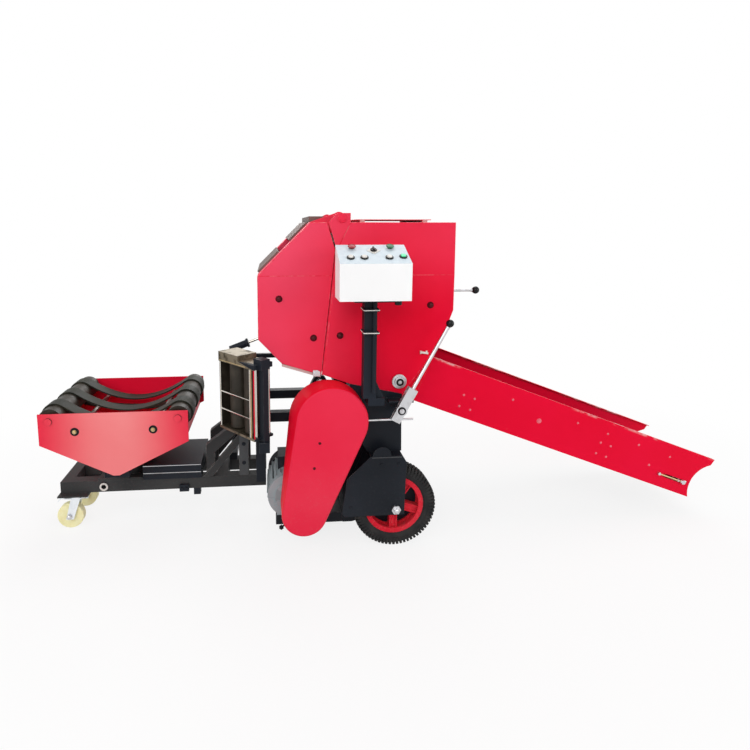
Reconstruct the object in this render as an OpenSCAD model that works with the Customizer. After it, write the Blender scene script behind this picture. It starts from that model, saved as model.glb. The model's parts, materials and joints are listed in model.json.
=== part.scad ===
// Round silage baler with an inclined feed conveyor and a turntable bale wrapper.
// X runs along the machine towards the feed end, Y across it, Z up, in millimetres.
// The baling chamber's axis is at x = 0, y = 0 until the whole machine is centred on its footprint.

/* [Baling chamber] */
// Clear width between the chamber's side plates
chamber_w = 540; // [500:5:600]
// Height of the bale's axis above the floor
chamber_z = 1205; // [1195:1:1230]
// Half the length of the body
body_half = 475; // [465:1:500]
// Height of the body's top edge above the bale's axis
body_rise = 417; // [405:1:440]
// Thickness of the chamber's side plates
side_t = 6; // [4:1:10]
// Depth of the chain cases outside the side plates
case_d = 124; // [110:1:150]
// Wall of the chain case covers
case_wall = 9; // [8:1:14]
// Lean of the covers above their crease, in degrees
cover_lean = 1.4; // [0.5:0.1:1.6]
// Radius of the roller circle
roller_circle = 316; // [310:1:325]
// Radius of a chamber roller's tube
roller_r = 44; // [36:1:46]
// Height of the bars on the chamber rollers
roller_bar = 6; // [4:1:8]
// Radius of the roller shafts
roller_shaft_r = 17; // [12:1:22]

/* [Tailgate] */
// Clear gap along the tailgate's seam
seam_gap = 8; // [6:1:12]
// Radius of the tailgate's hinge pin
hinge_r = 20; // [14:1:24]
// Radial running clearance at the hinge pin
hinge_fit = 0.08; // [0.05:0.01:0.1]

/* [Running gear] */
// Outer radius of the tyres
tyre_r = 210; // [200:1:216]
// Width of the tyres
tyre_w = 90; // [70:1:100]
// Radius of the rim's tyre seat
rim_r = 150; // [140:1:160]
// Number of spokes in a wheel
spokes = 5; // [4:1:7]
// Distance from the machine's middle to a wheel's middle
wheel_y = 390; // [386:1:400]
// Axle position along the machine
axle_x = 195; // [185:1:200]
// Radius of the axle
axle_r = 15; // [12:1:18]
// Running clearance of the wheels on the axle
axle_fit = 0.08; // [0.05:0.01:0.1]

/* [Feed conveyor] */
// Slope of the conveyor below the horizontal, in degrees
chute_slope = 21; // [20:0.5:22]
// Length of the conveyor's side walls along the slope
chute_len = 1830; // [1700:10:1850]
// Height of the side walls
chute_h = 250; // [220:5:270]
// Sheet thickness of the conveyor trough
chute_t = 4; // [3:1:6]
// Radius of the conveyor's end rollers
chute_roller_r = 38; // [30:1:42]
// Distance between the conveyor's slats
slat_pitch = 150; // [110:5:200]

/* [Bale wrapper] */
// Distance of the turntable's axis behind the bale's axis
wrap_back = 1190; // [1180:1:1230]
// Half the length of the table's side plates
table_half = 360; // [355:1:370]
// Half the width over the table's side plates
table_y = 310; // [300:1:320]
// Height of the side plates' top edge
table_top_z = 698; // [690:1:720]
// Radius of the table's rollers
table_roller_r = 57; // [50:1:60]
// Width of the table's belts
belt_w = 80; // [60:5:100]
// Thickness of the table's belts
belt_t = 8; // [5:1:10]
// Slope of the loaded run where it leaves a roller, in degrees
belt_sag = 35; // [25:1:40]

/* [Frame] */
// Side of the main frame's square tubes
tube = 50; // [40:2:60]
// Height of the wrapper beams' underside
beam_z = 196; // [190:1:200]
// Height of the wrapper beams
beam_h = 62; // [56:2:66]
// Width of the wrapper beams
beam_w = 60; // [50:2:70]
// Distance from the machine's middle to a wrapper beam's middle
beam_y = 100; // [95:1:110]
// Radius of the castors' wheels
castor_r = 68; // [60:1:72]

/* [Drive and controls] */
// Radius of the motor's finned body
motor_r = 108; // [95:1:110]
// Shaft height of the motor above its base
motor_h = 132; // [125:1:140]
// Depth of the belt guard
guard_d = 115; // [100:1:125]
// Width of the control box
box_w = 318; // [280:2:340]
// Depth of the control box
box_d = 160; // [140:2:180]
// Height of the control box's front face
box_h = 164; // [140:2:180]
// Length of the clutch lever
lever_len = 476; // [420:2:500]

/* [Hidden] */
$fn = 48;

red = "crimson";
black = "#1c1d22";
steel = "silver";

// Clearance between curved faces of pieces that don't bear on each other
gap = 0.4;
mirror_sides = [-1, 1];

// Chamber and chain cases
plate_in = chamber_w / 2;
plate_out = plate_in + side_t;
case_out = plate_out + case_d;
top_z = chamber_z + body_rise;

// Tailgate: the seam runs from low to high, each a place in x and a height above the bale's axis
seam_low = [-168, -317];
seam_high = [-103, 288];
seam_top_x = -141;
gate_top_x = -225;
gate_drop = 250;
gate_side_low = -137;
gate_chin = [112, 120];
hinge_x = -75;
hinge_z = top_z + 18;
front_top_x = -34;
front_nose = [62, -6, -179];
front_heel = [229, -423];
front_belly = [-32, -365];
lid_x = [15, 400];
lid_y = plate_in - 30;
lid_gap = 12;

function lift(points) = [for (p = points) [p[0], p[1] + chamber_z]];
gate_outline = lift([
    [gate_top_x, body_rise],
    [-body_half, body_rise - gate_drop],
    [-body_half, gate_side_low],
    [gate_chin[0] - body_half, gate_side_low - gate_chin[1]],
    [seam_low[0] - seam_gap / 2, seam_low[1]],
    [seam_high[0] - seam_gap / 2, seam_high[1]],
    [seam_top_x - seam_gap / 2, body_rise]
]);
front_outline = lift([
    [seam_low[0] + seam_gap / 2, seam_low[1]],
    front_belly,
    front_heel,
    [body_half - front_nose[0], front_nose[2]],
    [body_half, front_nose[1]],
    [body_half, body_rise],
    [front_top_x, body_rise],
    [seam_high[0] + seam_gap / 2, seam_high[1]]
]);
crease_z = chamber_z + body_rise - gate_drop;

// Main frame
rail_z = 588;
rail_top = rail_z + tube;
rail_y = 190;
post_x = -475;
beam_top = beam_z + beam_h;
neck_x = [60, 232];
neck_z = 487;
lower_z = 80;
lower_h = 60;
front_cross_x = -30;

// Running gear
bracket_t = 8;
bracket_out = wheel_y + 70;
bracket_in = wheel_y - 63;
axle_end = bracket_out + 22;
arch_x = 122;
arch_r = 46;
nut_r = 24;
nut_t = 16;
hub_r = 42;

// Feed conveyor, laid out along its own slope from the bottom of its upper end
chute_foot = [211, 746];
chute_out = plate_in;
lip_len = 55;
// The conveyor's loop runs round a roller at each end
run_ends = [60, chute_len - 80];
run_z = 72;
run_t = 5;
tension_slot = [150, 20];
slot_past = 35;

// Wrapper
wrap_x = -wrap_back;
table_roller_x = table_half - 50;
table_roller_z = 660;
table_low_z = 371;
table_side_z = 539;
table_t = 5;
pivot_r = 85;
pivot_top = 345.6;
disc_z = 346;
table_beam_z = 358;
pan_z = 398;
drive_x = [wrap_x + 85, wrap_x + 393];
drive_y = [-140, 200];
drive_lid = 44;
tie_x = 188;
tie_z = 606;
tie_r = 11;
belt_places = [-190, 0, 190];
// Slope of the slack run where it leaves a roller, the steps of the arc over a roller and the arc's radius
belt_slack = 15;
belt_steps = 16;
belt_wrap = 180 + belt_sag - belt_slack;
belt_r = (table_roller_r + gap) / cos(belt_wrap / belt_steps / 2) + belt_t / 2;

// Castors
castor_x = -1461;
castor_y = 112;
castor_trail = 34;
castor_w = 38;
castor_plate_t = 8;
castor_axle_r = 8;
fork_t = 5;
fork_gap = 6;

// Belt guard and drive
drive_shaft = [-127, 685];
// Belt guard's outline at the chain case and at its face: place and radius of the lower and upper lobes
guard_back = [[-258, 243, 118], [-145, 680, 185]];
guard_face = [[-263, 224, 110], [-130, 683, 174]];
motor_x = -325;
motor_z = 265;
motor_len = 340;
motor_foot = 70;
motor_face = case_out - 6;

// Controls
panel_rise = 76;
box_front = case_out + 240;
box_low_z = 1280;
box_x = 42;
post_side = 60;
post_y = case_out + 100;
gland_r = 10;
lever_foot = [205, 729];
lever_y = case_out + 80;
lever_angle = 28.5;
rod_drop = 47;
feed_lever_y = plate_in + 30;
feed_lever_z = chamber_z + 79;
feed_reach = 146;
ball_r = 19;
ball_seat = 17;

// Film stretcher, laid out from its near corner along its oblique face
film_corner = [-489, -500];
film_turn = 130.3;
film_len = 275;
film_depth = 104;
film_low = 615;
film_high = 946;
film_plate = 12;
film_housing = 24;
film_front = 10;
film_r = 46;
film_places = [78, 190];
film_shaft_r = 15;
film_start = -2;
film_post_side = 32;
film_post = [-10, -43];
film_foot = film_corner + film_post[0] * [cos(film_turn), sin(film_turn)]
          + film_post[1] * [-sin(film_turn), cos(film_turn)];
film_arm_top = film_low - film_plate - 8;

// Footprint: the origin is on the floor under the middle of the machine's box
tip_along = chute_len + lip_len;
front_end = chute_foot[0] + tip_along * cos(chute_slope) + chute_h * sin(chute_slope);
back_end = wrap_x - table_roller_x - belt_r - belt_t / 2;
near_side = -box_front;
far_side = axle_end;
centre = [(front_end + back_end) / 2, (near_side + far_side) / 2];

// A plate or prism with its outline in x and z, from y0 to y1
module slab(points, y0, y1) {
    translate([0, y1, 0]) rotate([90, 0, 0]) linear_extrude(y1 - y0) polygon(points);
}

// A round bar along y
module bar_y(x, z, r, y0, y1) {
    translate([x, y1, z]) rotate([90, 0, 0]) cylinder(r = r, h = y1 - y0);
}

// A box from its two corners
module block(low, high) {
    translate(low) cube(high - low);
}

// One copy on each side of the machine
module both() {
    for (side = mirror_sides) scale([1, side, 1]) children();
}

// An outline moved inwards by d; its corners are listed counter-clockwise
function unit(v) = v / norm(v);
function left(v) = [-v[1], v[0]];
function meet(p, u, q, v) = p + u * ((q - p) * left(v)) / (u * left(v));
function inset(points, d) = [
    for (i = [0 : len(points) - 1])
        let (n = len(points), a = points[(i + n - 1) % n], b = points[i], c = points[(i + 1) % n],
             u = unit(b - a), v = unit(c - b))
        meet(b + left(u) * d, u, b + left(v) * d, v)
];

// Main frame

module neck(side) {
    head = lift([front_belly, front_heel]);
    slab([[neck_x[0], neck_z], [neck_x[1], neck_z], [head[1][0], rail_top], head[1], head[0],
          [front_belly[0], rail_top]], side < 0 ? -case_out : plate_out, side < 0 ? -plate_out : case_out);
}

module main_frame() {
    color(black) {
        // Rails under the chamber, with the cross tubes that the side plates stand on
        for (side = mirror_sides)
            block([post_x - tube / 2, side * rail_y - tube / 2, rail_z],
                  [neck_x[1], side * rail_y + tube / 2, rail_top]);
        for (x = [post_x, neck_x[0] + tube / 2, neck_x[1] - tube / 2])
            block([x - tube / 2, -plate_out, rail_z], [x + tube / 2, plate_out, rail_top]);
        // Necks between the wheel brackets and the chain cases
        for (side = mirror_sides) neck(side);
        // Rear posts on a cross tube over the ends of the wrapper beams
        for (side = mirror_sides)
            block([post_x - tube / 2, side * rail_y - tube / 2, beam_top],
                  [post_x + tube / 2, side * rail_y + tube / 2, rail_z]);
        block([post_x - tube / 2, -rail_y, beam_top], [post_x + tube / 2, rail_y, beam_top + tube]);
        // Front cross tube between the wheel brackets
        block([front_cross_x - tube / 2, -bracket_in, lower_z],
              [front_cross_x + tube / 2, bracket_in, lower_z + lower_h]);
        // Arm that carries the film post
        block([film_foot[0] - tube / 2, film_foot[1] - tube / 2, film_arm_top - tube],
              [film_foot[0] + tube / 2, -rail_y, film_arm_top]);
        // Tab for the clutch lever's return spring
        block([150, -case_out - 60, 756], [272, -case_out, 766]);
    }
}

module wheel_bracket() {
    outer = [[-75, 195], [-60, 178], [238, 178], [245, 454], [225, neck_z], [66, neck_z], [-50, 372]];
    inner = [[front_cross_x - tube / 2, lower_z], [front_cross_x + tube / 2, lower_z],
             [axle_x + 45, axle_z() - 60], [neck_x[1], neck_z], [neck_x[0], neck_z],
             [front_cross_x - tube / 2, lower_z + 150]];
    color(black) difference() {
        union() {
            slab(outer, -bracket_out, bracket_t - bracket_out);
            slab(inner, -bracket_in - bracket_t, -bracket_in);
            bar_y(arch_x, neck_z, arch_r, -bracket_out, bracket_t - bracket_out);
            block([66, -bracket_out, neck_z - 10], [225, -bracket_in, neck_z]);
        }
        bar_y(axle_x, axle_z(), axle_r, -bracket_out - 1, -bracket_in + 1);
    }
}

function axle_z() = tyre_r;

module axle() {
    color(steel) {
        bar_y(axle_x, axle_z(), axle_r, -axle_end, axle_end);
        both() {
            translate([axle_x, -bracket_out, axle_z()]) rotate([90, 0, 0]) difference() {
                cylinder(r = nut_r, h = nut_t, $fn = 6);
                translate([0, 0, -1]) cylinder(r = axle_r - 1, h = nut_t + 2);
            }
            // Spacer collars either side of the hub
            for (y = [wheel_y + tyre_w / 2 + 1, bracket_in + bracket_t])
                translate([axle_x, -y, axle_z()]) rotate([90, 0, 0]) cylinder(r = axle_r + 7, h = 8);
        }
    }
}

// Wheels

module tyre() {
    shoulder = 18;
    half = tyre_w / 2;
    color("#222222") translate([axle_x, -wheel_y, axle_z()]) rotate([90, 0, 0]) rotate_extrude()
        polygon([[rim_r, -half + 12], [tyre_r - 40, -half], [tyre_r - shoulder, -half],
                 [tyre_r, -half + shoulder], [tyre_r, half - shoulder], [tyre_r - shoulder, half],
                 [tyre_r - 40, half], [rim_r, half - 12]]);
}

module rim() {
    half = tyre_w / 2;
    seat_half = half - 13;
    spoke_w = 40;
    color(red) translate([axle_x, -wheel_y, axle_z()]) rotate([90, 0, 0]) difference() {
        union() {
            difference() {
                translate([0, 0, -seat_half]) cylinder(r = rim_r, h = 2 * seat_half);
                translate([0, 0, -seat_half - 1]) cylinder(r = rim_r - 12, h = 2 * seat_half + 2);
            }
            // Thicker beads at the rim's two edges
            for (z = [-seat_half, seat_half - 12]) translate([0, 0, z]) difference() {
                cylinder(r = rim_r - 6, h = 12);
                translate([0, 0, -1]) cylinder(r = rim_r - 24, h = 14);
            }
            translate([0, 0, -half]) cylinder(r = hub_r, h = tyre_w);
            for (i = [0 : spokes - 1]) rotate(90 + i * 360 / spokes)
                translate([hub_r - 4, -spoke_w / 2, -14]) cube([rim_r - hub_r - 2, spoke_w, 28]);
        }
        translate([0, 0, -half - 1]) cylinder(r = axle_r + axle_fit, h = tyre_w + 2);
    }
}

// Baling chamber

module roller(angle) {
    shaft_reach = plate_in;
    tube_reach = plate_in - 12;
    translate([roller_circle * cos(angle), 0, chamber_z + roller_circle * sin(angle)]) {
        translate([0, tube_reach, 0]) rotate([90, 0, 0]) linear_extrude(2 * tube_reach) {
            circle(r = roller_r);
            for (i = [0 : 5]) rotate(i * 60) translate([roller_r - 6, -5]) square([roller_bar + 6, 10]);
        }
        bar_y(0, 0, roller_shaft_r, -shaft_reach, shaft_reach);
    }
}

front_roller_angles = [97, 77, 57, 37, 17, -3, -70, -90, -110];
gate_roller_angles = [120, 141, 162, 183, 204, 225];

module front_rollers() {
    color("dimgray") for (a = front_roller_angles) roller(a);
}

module gate_rollers() {
    color("dimgray") for (a = gate_roller_angles) roller(a);
}

module side_plate() {
    leg = [[neck_x[0], rail_top], [neck_x[1], rail_top], [neck_x[1] + 90, chute_foot[1] - 40],
           [body_half - 40, chamber_z - 240], [body_half - 40, chamber_z - 100],
           [neck_x[0], chamber_z - 100]];
    color(red) slab(front_outline, -plate_out, -plate_in);
    color(red) slab(leg, -plate_out, -plate_in);
}

module leaned_cover(outline) {
    color(red) difference() {
        slab(outline, -case_out, -plate_out);
        slab(inset(outline, case_wall), case_wall - case_out, 1 - plate_out);
        // The cover leans inwards above its crease
        translate([-2 * body_half, -case_out, crease_z]) rotate([-cover_lean, 0, 0])
            translate([0, -2 * case_wall, 0]) cube([4 * body_half, 2 * case_wall, 2 * body_rise]);
    }
}

module front_shell() {
    sheet = 4;
    wall = lift([[body_half, front_nose[1]], [body_half, body_rise], [front_top_x, body_rise],
                 [front_top_x, body_rise - sheet], [body_half - sheet, body_rise - sheet],
                 [body_half - sheet, front_nose[1]],
                 [body_half - front_nose[0] - sheet, front_nose[2]],
                 [body_half - front_nose[0], front_nose[2]]]);
    color(red) slab(wall, -plate_in, plate_in);
    // Lid on two bars over the chamber's front half
    color(red) for (x = [lid_x[0] + 20, lid_x[1] - 45])
        block([x, -lid_y, top_z - 1], [x + 25, lid_y, top_z + lid_gap + 1]);
    color(red) block([lid_x[0], -lid_y, top_z + lid_gap], [lid_x[1], lid_y, top_z + lid_gap + sheet]);
}

module hinge_brackets() {
    reach = 25;
    wedge = [[seam_high[0] + seam_gap / 2, chamber_z + seam_high[1]], [front_top_x, top_z],
             [front_top_x, hinge_z + reach], [hinge_x - reach, hinge_z + reach],
             [seam_top_x + seam_gap / 2, top_z]];
    color(red) both() slab(wedge, -case_out + 6, 18 - case_out);
    color(steel) bar_y(hinge_x, hinge_z, hinge_r, -case_out, case_out);
}

// Tailgate

module gate_plate() {
    ear = 34;
    color(red) translate([0, -plate_in, 0]) rotate([90, 0, 0]) linear_extrude(side_t) difference() {
        union() {
            polygon(gate_outline);
            polygon([[seam_top_x - seam_gap, top_z - 70], [hinge_x, hinge_z - ear], [hinge_x, hinge_z + ear],
                     [gate_top_x, top_z]]);
            translate([hinge_x, hinge_z]) circle(r = ear);
        }
        translate([hinge_x, hinge_z]) circle(r = hinge_r + hinge_fit);
    }
}

module gate_slats() {
    t = 4;
    // Each slat spans between two points of one edge, given as shares of it, and stands up by its rise
    edges = [[0, 0.02, 0.36, 10], [0, 0.58, 0.98, 10], [1, 0.04, 0.48, 0], [1, 0.52, 0.96, 0],
             [2, 0.05, 0.95, 0], [6, 0.06, 0.98, 30]];
    color(red) for (e = edges) {
        a = gate_outline[e[0]];
        b = gate_outline[(e[0] + 1) % len(gate_outline)];
        u = b - a;
        n = left(unit(u));
        p = a + u * e[1] - n * e[3];
        q = a + u * e[2] - n * e[3];
        deep = n * (t + e[3]);
        slab([p, q, q + deep, p + deep], -plate_in, plate_in);
    }
}

// Drive

module guard_shape(lobes, d) {
    hull() for (lobe = lobes) translate([lobe[0], lobe[1]]) circle(r = lobe[2] - d, $fn = 56);
}

// The guard narrows from the chain case to its face, and its face has a rounded edge
module guard_form(d) {
    round = 14;
    hull() {
        translate([0, 0, d]) linear_extrude(1) guard_shape(guard_back, d);
        for (step = [[1, 0], [0.62, 0.08], [0.29, 0.29], [0, 0.7]])
            translate([0, 0, guard_d - d - step[0] * round - 1]) linear_extrude(1)
                guard_shape(guard_face, d + step[1] * round);
    }
}

module belt_guard() {
    sheet = 4;
    color(red) translate([0, -case_out, 0]) rotate([90, 0, 0]) difference() {
        guard_form(0);
        guard_form(sheet);
        for (hole = [drive_shaft, [motor_x, motor_z]])
            translate([hole[0], hole[1], -1]) cylinder(r = 26, h = sheet + 2);
        // Hole for the clutch lever's pull rod
        translate([guard_face[1][0], lever_foot[1] - rod_drop, lever_y - case_out]) rotate([0, 90, 0])
            cylinder(r = 8, h = 2 * guard_face[1][2]);
    }
}

module countershaft() {
    bearing_w = 40;
    shaft_r = 20;
    // Half outline of a bearing block above the rail, as offsets from the shaft
    foot = rail_top - drive_shaft[1];
    half = [[62, foot], [62, foot + 14], [34, 20], [18, 34]];
    outline = concat(half, [for (i = [len(half) - 1 : -1 : 0]) [-half[i][0], half[i][1]]]);
    color(steel) bar_y(drive_shaft[0], drive_shaft[1], shaft_r, -case_out - 40, rail_y + 70);
    color(black) for (side = mirror_sides) translate([drive_shaft[0], side * rail_y, drive_shaft[1]])
        slab(outline, -bearing_w / 2, bearing_w / 2);
}

module motor() {
    fins = 28;
    fin_h = 11;
    shaft_r = 19;
    bell = 42;
    face = -motor_face;
    color("slategray") translate([motor_x, 0, motor_z]) {
        bar_y(0, 0, motor_r, face + bell, face + motor_len - 80);
        // Cooling fins along the frame, left out over the feet
        for (i = [0 : fins - 1]) if (abs(i * 360 / fins - 270) > 35) rotate([0, -i * 360 / fins, 0])
            block([motor_r - 3, face + bell + 6, -2], [motor_r + fin_h, face + motor_len - 86, 2]);
        bar_y(0, 0, motor_r + 6, face + 10, face + bell);
        bar_y(0, 0, motor_r - 30, face, face + bell);
        bar_y(0, 0, motor_r + 4, face + motor_len - 84, face + motor_len);
        bar_y(0, 0, shaft_r, face - 40, face + 10);
        // Feet and terminal box
        for (y = [face + bell + 20, face + motor_len - 130])
            block([-motor_foot, y, -motor_h], [motor_foot, y + 44, -motor_r + 20]);
        block([-62, face + bell + 50, motor_r - 10], [62, face + bell + 170, motor_r + 62]);
    }
}

module motor_base() {
    plate_t = 12;
    flange = 55;
    top = motor_z - motor_h;
    ends = [motor_x - motor_foot - 5, front_cross_x - tube / 2];
    sides = [60 - wheel_y, 40];
    color(black) {
        block([ends[0], sides[0], top - plate_t], [ends[1], sides[1], top]);
        for (y = [sides[0], sides[1] - plate_t])
            block([ends[0], y, top - flange], [ends[1], y + plate_t, top]);
    }
}

// Controls

module control_post() {
    foot_z = 770;
    arm_h = 36;
    right = box_x + post_side / 2;
    cable_r = 9;
    color(black) {
        block([box_x - post_side / 2, -post_y - post_side / 2, foot_z + arm_h],
              [right, post_side / 2 - post_y, box_low_z]);
        // Foot arm from the neck out to the post, clear of the belt guard
        block([right - 36, -post_y - post_side / 2, foot_z], [right + 40, -case_out, foot_z + arm_h]);
        slab([[right, foot_z + arm_h], [right + 40, foot_z + arm_h], [right, foot_z + 120]],
             -post_y - 6, 6 - post_y);
        // Cable from the box down the post's face
        translate([right - 14, 1 - post_y - post_side / 2 - cable_r, foot_z + arm_h + 30])
            cylinder(r = cable_r, h = box_low_z - foot_z - arm_h - 30);
        block([box_x - 90, -box_front + 20, box_low_z - 8], [box_x + 90, -box_front + box_d - 20, box_low_z]);
    }
    // Clips that hold the cable against the post
    color(steel) for (z = [box_low_z - 60, box_low_z - 165])
        difference() {
            block([box_x - post_side / 2 - 5, -post_y - post_side / 2 - 2 * cable_r - 3, z],
                  [box_x + post_side / 2 + 5, post_side / 2 - post_y + 5, z + 12]);
            block([box_x - post_side / 2, -post_y - post_side / 2, z - 1],
                  [box_x + post_side / 2, post_side / 2 - post_y, z + 13]);
        }
}

module control_box() {
    wall = 3;
    side = [[0, 0], [box_d, 0], [box_d, box_h + panel_rise], [0, box_h]];
    gland_x = box_x + box_w / 2 - 50;
    color("white") difference() {
        union() {
            translate([box_x - box_w / 2, -box_front, box_low_z]) rotate([90, 0, 90])
                linear_extrude(box_w) polygon(side);
            translate([gland_x, 40 - box_front, box_low_z - 22]) cylinder(r = gland_r + 6, h = 23);
        }
        translate([box_x - box_w / 2 + wall, -box_front, box_low_z]) rotate([90, 0, 90])
            linear_extrude(box_w - 2 * wall) polygon(inset(side, wall));
        translate([gland_x, 40 - box_front, box_low_z - 23]) cylinder(r = gland_r, h = 23 + 2 * wall);
    }
}

// Buttons on the sloping panel: place across, place up the panel, radius, height
buttons = [
    [-0.33, 0.30, 13, 10], [-0.14, 0.30, 13, 10], [0.21, 0.30, 13, 10], [0.41, 0.34, 16, 14],
    [-0.28, 0.80, 15, 16], [0.02, 0.66, 22, 9], [0.27, 0.80, 15, 16]
];

module control_buttons() {
    slope = atan(panel_rise / box_d);
    run = norm([panel_rise, box_d]);
    color("dimgray") translate([box_x, -box_front, box_low_z + box_h]) rotate([slope, 0, 0]) for (b = buttons)
        translate([b[0] * box_w, b[1] * run, 0]) cylinder(r = b[2], h = b[3]);
}

module clutch_lever() {
    clevis_len = 118;
    rod_r = 9;
    pin_r = 12;
    rod_z = lever_foot[1] - rod_drop;
    guard_edge = guard_face[1][0] + guard_face[1][2];
    color(steel) {
        translate([lever_foot[0], -lever_y, lever_foot[1]]) rotate([0, lever_angle, 0]) {
            difference() {
                translate([-24, -14, -62]) cube([48, 28, clevis_len + 62]);
                translate([-25, -7, -63]) cube([50, 14, clevis_len + 20]);
            }
            translate([0, 0, clevis_len - 1]) cylinder(r = rod_r, h = lever_len - clevis_len - 16);
        }
        // Pivot pin in the neck
        bar_y(lever_foot[0], lever_foot[1], pin_r, -lever_y - 24, -case_out);
        // Pull rod from the clevis into the belt guard, and its pin
        translate([guard_edge - 30, -lever_y, rod_z]) rotate([0, 90, 0])
            cylinder(r = 5, h = lever_foot[0] + 60 - guard_edge + 30);
        bar_y(lever_foot[0] - 26, rod_z, 7, -lever_y - 18, 18 - lever_y);
    }
}

module lever_knobs() {
    color("#111111") {
        translate([lever_foot[0], -lever_y, lever_foot[1]]) rotate([0, lever_angle, 0])
            translate([0, 0, lever_len]) difference() {
                sphere(r = ball_r);
                translate([0, 0, -2 * ball_r - ball_seat]) cylinder(r = 30, h = 2 * ball_r);
            }
        translate([body_half + feed_reach, -feed_lever_y, feed_lever_z]) difference() {
            sphere(r = ball_r);
            translate([-2 * ball_r - ball_seat, 0, 0]) rotate([0, 90, 0]) cylinder(r = 30, h = 2 * ball_r);
        }
    }
}

module feed_lever() {
    color(steel) {
        translate([body_half, -feed_lever_y, feed_lever_z]) rotate([0, 90, 0]) {
            cylinder(r = 7, h = feed_reach - ball_seat);
            cylinder(r = 16, h = 10);
        }
    }
}

module roller_hub() {
    color(steel) translate([212, -case_out, 848]) rotate([90, 0, 0]) difference() {
        union() {
            cylinder(r = 36, h = 10);
            cylinder(r = 24, h = 22);
        }
        translate([0, 0, 8]) cylinder(r = 8, h = 20);
    }
}

// Feed conveyor: x along the slope, z square to it

module along_chute() {
    translate([chute_foot[0], 0, chute_foot[1]]) rotate([0, chute_slope, 0]) children();
}

module chute_wall() {
    end_r = 150;
    color(red) along_chute() translate([0, -chute_out, 0]) rotate([-90, 0, 0])
    linear_extrude(chute_t) difference() {
        polygon([[0, 0], [chute_len, 0], [chute_len + lip_len, -chute_h], [0, -chute_h]]);
        // The lower end is cut to a hollow curve under the lip
        translate([chute_len + lip_len + end_r * 0.45, -chute_h + 16 + end_r]) circle(r = end_r);
        // Slot that the lower roller is tensioned in
        translate([run_ends[1] + slot_past - tension_slot[0], -run_z - tension_slot[1] / 2])
            square(tension_slot);
    }
    // Folded lip along the top edge
    fold = 16;
    color(red) along_chute() block([0, chute_t - chute_out, chute_h - chute_t],
                                   [chute_len + lip_len, chute_t + fold - chute_out, chute_h]);
}

module chute_floor() {
    y = chute_out - chute_t;
    x0 = run_ends[0] + chute_roller_r + 20;
    x1 = run_ends[1] - chute_roller_r - 20;
    color(red) along_chute() {
        block([x0, -y, run_z - chute_t], [x1, y, run_z]);
        for (share = [0.1, 0.36, 0.62, 0.88]) translate([x0 + share * (x1 - x0), 0, 0])
            block([0, -y, run_z - 24], [40, y, run_z - chute_t]);
    }
}

module chute_rollers() {
    y = chute_out - chute_t;
    color("dimgray") along_chute() for (x = run_ends) {
        bar_y(x, run_z, chute_roller_r, 20 - y, y - 20);
        bar_y(x, run_z, 14, -y, y);
    }
}

function loop(r) = concat(
    [for (a = [-90 : 15 : 90]) [run_ends[1] + r * cos(a), run_z + r * sin(a)]],
    [for (a = [90 : 15 : 270]) [run_ends[0] + r * cos(a), run_z + r * sin(a)]]
);

module chute_slats() {
    y = chute_out - chute_t - 30;
    slat = [30, 22];
    inner = chute_roller_r / cos(7.5) + gap;
    outer = inner + run_t;
    color("#2a2a2a") along_chute() {
        translate([0, y, 0]) rotate([90, 0, 0]) linear_extrude(2 * y) difference() {
            polygon(loop(outer));
            polygon(loop(inner));
        }
        for (x = [run_ends[0] + 20 : slat_pitch : run_ends[1] - 40]) {
            block([x, -y, run_z + outer - 1], [x + slat[0], y, run_z + outer + slat[1]]);
            block([x, -y, run_z - outer - slat[1]], [x + slat[0], y, run_z - outer + 1]);
        }
    }
}

// Film stretcher

module along_film() {
    translate([film_corner[0], film_corner[1], 0]) rotate([0, 0, film_turn]) children();
}

module film_stand() {
    bore = film_shaft_r + 0.06;
    middle = -film_depth / 2;
    half = film_post_side / 2;
    top = film_high + film_housing;
    // Square post on the frame's arm
    color(black) along_film() block([film_post[0] - half, film_post[1] - half, film_arm_top],
                                    [film_post[0] + half, film_post[1] + half, film_high + 1]);
    color("dimgray") along_film() difference() {
        union() {
            // Lower plate, gear housing in two steps, gear block over the post
            block([film_start, -film_depth, film_low - film_plate], [film_len, film_front, film_low]);
            block([film_start, -film_depth, film_high], [film_len, film_front, top]);
            block([118, -film_depth, top - 1], [film_len, film_front, top + film_housing]);
            block([film_post[0] - half - 2, film_post[1] - half - 8, film_high],
                  [film_post[0] + half + 24, film_post[1] + half + 12, top + film_housing]);
            // Back plate and the strap at the far end
            block([26, -film_depth - 4, film_low - film_plate], [film_len, 1 - film_depth, top]);
            block([film_len - 6, -film_depth, film_low - 1], [film_len, 34 - film_depth, film_high + 1]);
        }
        for (x = film_places) translate([x, middle, 0]) {
            translate([0, 0, film_low - film_plate - 1]) cylinder(r = bore, h = film_plate + 2);
            translate([0, 0, film_high - 1]) cylinder(r = bore, h = 17);
        }
    }
}

module film_roller(i) {
    color("#26262a") along_film() translate([film_places[i], -film_depth / 2, 0]) {
        translate([0, 0, film_low + 4]) cylinder(r = film_r, h = film_high - film_low - 8);
        translate([0, 0, film_low - film_plate + 2])
            cylinder(r = film_shaft_r, h = film_high - film_low + film_plate + 10);
    }
}

module film_rods() {
    high = film_high - film_low;
    rung_y = film_front / 2;
    rung_r = 3.5;
    side_x = [34, film_len - 8];
    color(steel) along_film() {
        for (y = [-14, 14 - film_depth]) translate([14, y, film_low]) cylinder(r = 8, h = high);
        // Thin ladder guard in front of the rollers
        for (x = side_x) translate([x, rung_y, film_low]) cylinder(r = rung_r + 0.5, h = high);
        for (share = [0.27, 0.54]) translate([side_x[0], rung_y, film_low + share * high]) rotate([0, 90, 0])
            cylinder(r = rung_r, h = side_x[1] - side_x[0]);
    }
}

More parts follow.
